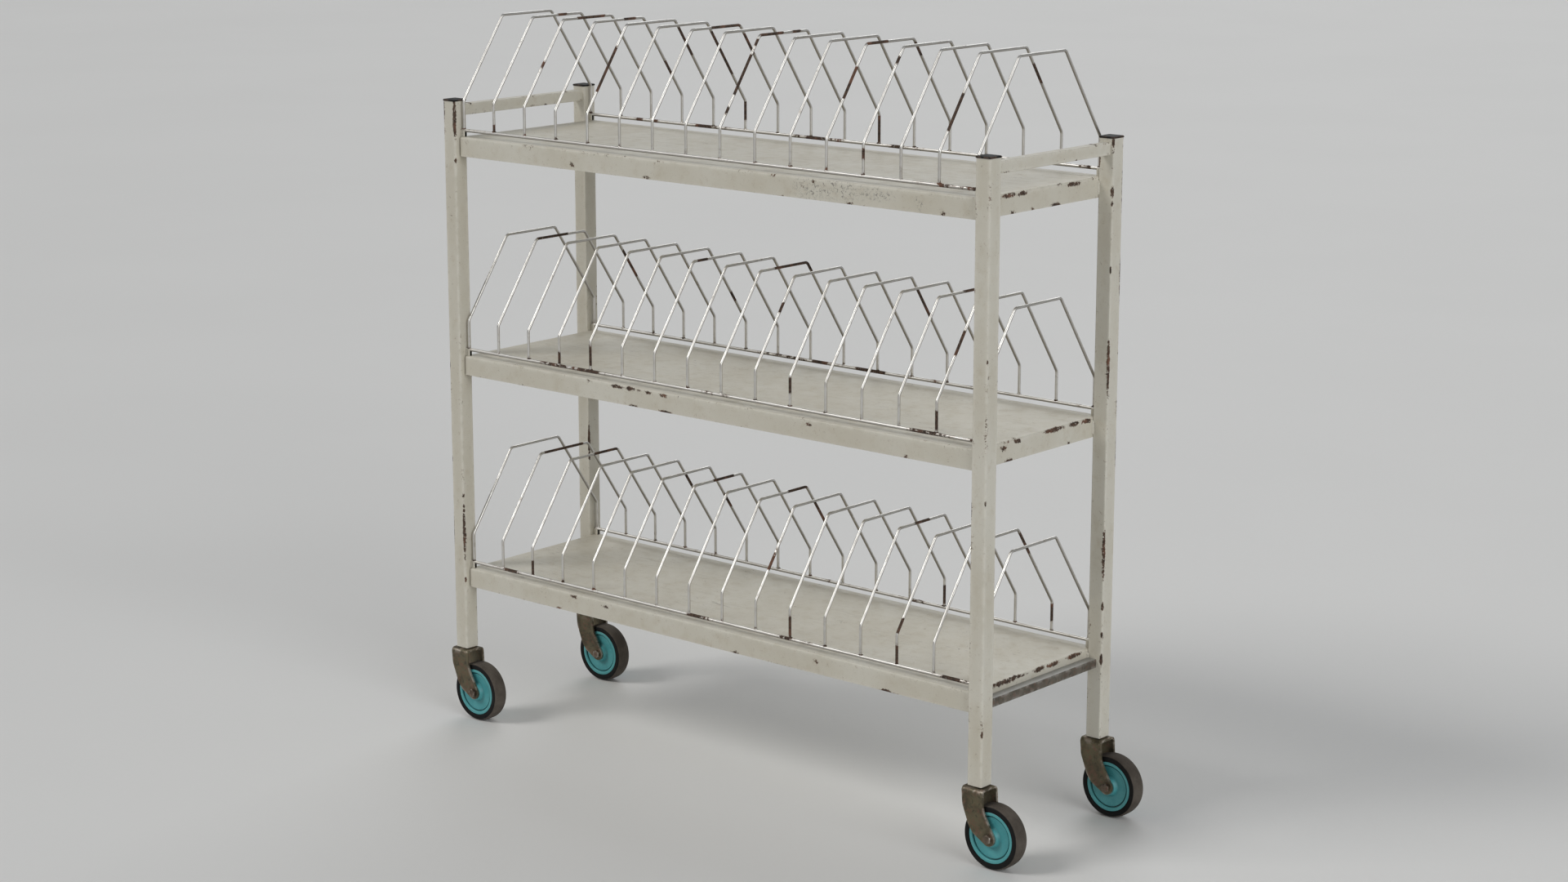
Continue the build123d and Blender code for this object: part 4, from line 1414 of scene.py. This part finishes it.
def build_hub(c):
    """Moulded disc with a raised rim ring, a groove beside it and a boss at the axle."""
    half_profile = [(45.5, 0), (45.5, 14.8), (38.8, 14.8), (38.8, 10.0), (36.8, 10.0), (36.8, 12.0),
                    (18.6, 10.4), (15.0, 17.6), (6.5, 17.6)]
    radii = {1: 1.4, 2: 2.1, 3: 0.3, 4: 0.3, 5: 0.7, 6: 2.6, 7: 1.6}
    corners = [(r * MM, -y * MM) for r, y in half_profile]
    corners += [(r * MM, y * MM) for r, y in reversed(half_profile[1:])]
    rounding = {k: v * MM for k, v in radii.items()}
    count = len(corners)
    rounding.update({count - k: v * MM for k, v in radii.items()})
    dense = []
    base = smooth_profile(corners, rounding, 5)
    for k, (r, y, _) in enumerate(base):
        following = base[(k + 1) % len(base)]
        gap = math.hypot(following[0] - r, following[1] - y)
        steps = max(1, round(gap / (2.5 * MM)))
        for m in range(steps):
            share = m / steps
            dense.append((r + (following[0] - r) * share, y + (following[1] - y) * share))
    profile = []
    for r, y in dense:
        # The ring and the boss's rim get a high edge number, which paints them paler; the groove and the
        # boss's root get a high wear-and-shade number, which paints shade into them.
        ring = 1.0 if r > 38.6 * MM and abs(y) > 12.4 * MM else 0.0
        groove = 1.0 if 36.5 * MM < r < 39.4 * MM and abs(y) < 11.6 * MM else 0.0
        boss_root = 0.35 * near(abs(r - 18.6 * MM), 2.0 * MM) if abs(y) < 12.5 * MM else 0.0
        boss_rim = 0.6 if r < 15.4 * MM and abs(y) > 15.8 * MM else 0.0
        profile.append((r, y, max(ring, boss_rim), max(groove, boss_root)))
    shell = Shell()
    lathe(shell, profile, (c.axle.x, c.axle.y, c.axle.z), "y", 112)
    piece(f"hub_{c.corner}", shell, c.wheel_body, HUB_PLASTIC, [f"wheel_hub_{c.corner}"])


def build_tyre(c):
    """Rubber tyre: flat sides, a rounded shoulder and a tread with two fine mould lines."""
    half = size_of(f"tyre_{c.corner}").y / 2
    radius = WHEEL_RADIUS
    profile = []
    tread = []
    for k in range(25):
        share = k / 24
        a = math.pi / 2 * share
        y = half * math.cos(a) ** 0.62
        r = TYRE_SIDE + (radius - TYRE_SIDE) * math.sin(a) ** 0.78
        tread.append((r, y))
    line = 0.22 * MM
    for r, y in tread:
        fade = min(1.0, max(0.0, (r - 52.8 * MM) / (3.2 * MM)))
        profile.append((r, y, 0.0, fade))
    crown = [(radius, 3.2 * MM, 0.0, 1.0), (radius - line, 2.7 * MM, 0.0, 1.0),
             (radius - line, 2.3 * MM, 0.0, 1.0), (radius, 1.8 * MM, 0.0, 1.0)]
    profile = [p for p in profile if p[1] > 3.6 * MM] + crown
    wall = [(TYRE_BORE, HUB_RIM_Y), (46.6 * MM, 15.2 * MM), (48.6 * MM, half - 0.25 * MM),
            (49.4 * MM, half), (51.0 * MM, half)]
    side = [(r, y, 0.0, 0.0) for r, y in wall]
    upper = side + profile
    lower = [(r, -y, e, w) for r, y, e, w in reversed(upper)]
    shell = Shell()
    lathe(shell, upper + lower, (c.axle.x, c.axle.y, c.axle.z), "y", 128)
    piece(f"tyre_ring_{c.corner}", shell, c.wheel_body, TYRE_RUBBER, [f"tyre_{c.corner}"],
          sharp_angle=50)


def finish_hidden(c):
    """The insert and the bush keep their CAD meshes and get materials of their own."""
    for node, material in ((f"caster_insert_{c.corner}", INSERT_PLASTIC), (f"hub_bush_{c.corner}", BRASS)):
        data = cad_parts[node].data
        data.materials.clear()
        data.materials.append(material)


for corner in CORNERS:
    build_post(corner)
    build_cap(corner)
for end in ENDS:
    build_rail(end)
    build_rail_welds(end)
    build_lower_bar(end)
for level in LEVELS:
    build_tray(level)
    build_tray_welds(level)
    build_hoops(level)
    build_rods(level)
    build_foot_welds(level)
    build_seats(level)
for corner in CORNERS:
    caster = Caster(corner)
    build_fork(caster)
    build_axle(caster)
    build_kingpin(caster)
    build_washer(caster)
    build_hub(caster)
    build_tyre(caster)
    finish_hidden(caster)

# ---- Floor, light and camera -----------------------------------------------------------------------


def build_floor():
    """A wide pale disc, so that its rim lies far behind the trolley from every side."""
    shell = Shell()
    centre = shell.add((0, 0, 0))
    rows = []
    angles = [2 * math.pi * k / 64 for k in range(64)]
    for radius in (1.0, 2.0, 4.0, 8.0, 20.0, 60.0):
        rows.append([shell.add((radius * math.cos(a), radius * math.sin(a), 0)) for a in angles])
    shell.fan(rows[0], centre)
    shell.loft(rows)
    made = bpy.data.objects.new("floor", shell.mesh("floor"))
    bpy.context.scene.collection.objects.link(made)
    made.data.materials.append(floor_material())


def sun(name, toward, strength, spread, color=(1.0, 1.0, 1.0)):
    """A broad, far light that shines from the given side, alike over the whole floor."""
    light = bpy.data.lights.new(name, "SUN")
    light.energy = strength
    light.angle = math.radians(spread)
    light.color = color
    made = bpy.data.objects.new(name, light)
    made.rotation_euler = (-Vector(toward)).to_track_quat("-Z", "Y").to_euler()
    bpy.context.scene.collection.objects.link(made)


def studio_world():
    """An even grey surround that lights softly and looks as pale as the floor."""
    world = bpy.data.worlds.new("studio")
    bpy.context.scene.world = world
    world.use_nodes = True
    tree = world.node_tree
    lighting = tree.nodes["Background"]
    lighting.inputs["Color"].default_value = (0.98, 0.99, 1.0, 1.0)
    lighting.inputs["Strength"].default_value = 0.21
    seen = tree.nodes.new("ShaderNodeBackground")
    seen.inputs["Color"].default_value = (0.520, 0.524, 0.528, 1.0)
    ray = tree.nodes.new("ShaderNodeLightPath")
    choose = tree.nodes.new("ShaderNodeMixShader")
    tree.links.new(ray.outputs["Is Camera Ray"], choose.inputs[0])
    tree.links.new(lighting.outputs[0], choose.inputs[1])
    tree.links.new(seen.outputs[0], choose.inputs[2])
    tree.links.new(choose.outputs[0], tree.nodes["World Output"].inputs["Surface"])


build_floor()
sun("key", (-2.4, -3.4, 3.6), 1.05, 22, (1.0, 0.985, 0.96))
sun("fill_right", (4.4, -1.2, 1.9), 1.10, 40, (0.98, 0.99, 1.0))
sun("rear", (-2.0, 3.8, 3.0), 0.62, 40, (0.97, 0.99, 1.0))
studio_world()
bpy.context.scene.view_settings.view_transform = "Standard"

CAMERA_PLACE = Vector((3.563, -4.129, 1.863))
CAMERA_TARGET = Vector((0.005, 0.0, 0.624))
camera = bpy.data.cameras.new("camera")
camera.lens = 70.0
camera.sensor_width = 36.0
camera.clip_end = 200.0
camera_object = bpy.data.objects.new("camera", camera)
camera_object.location = CAMERA_PLACE
looking = CAMERA_TARGET - camera_object.location
camera_object.rotation_euler = looking.to_track_quat("-Z", "Y").to_euler()
bpy.context.scene.collection.objects.link(camera_object)
bpy.context.scene.camera = camera_object
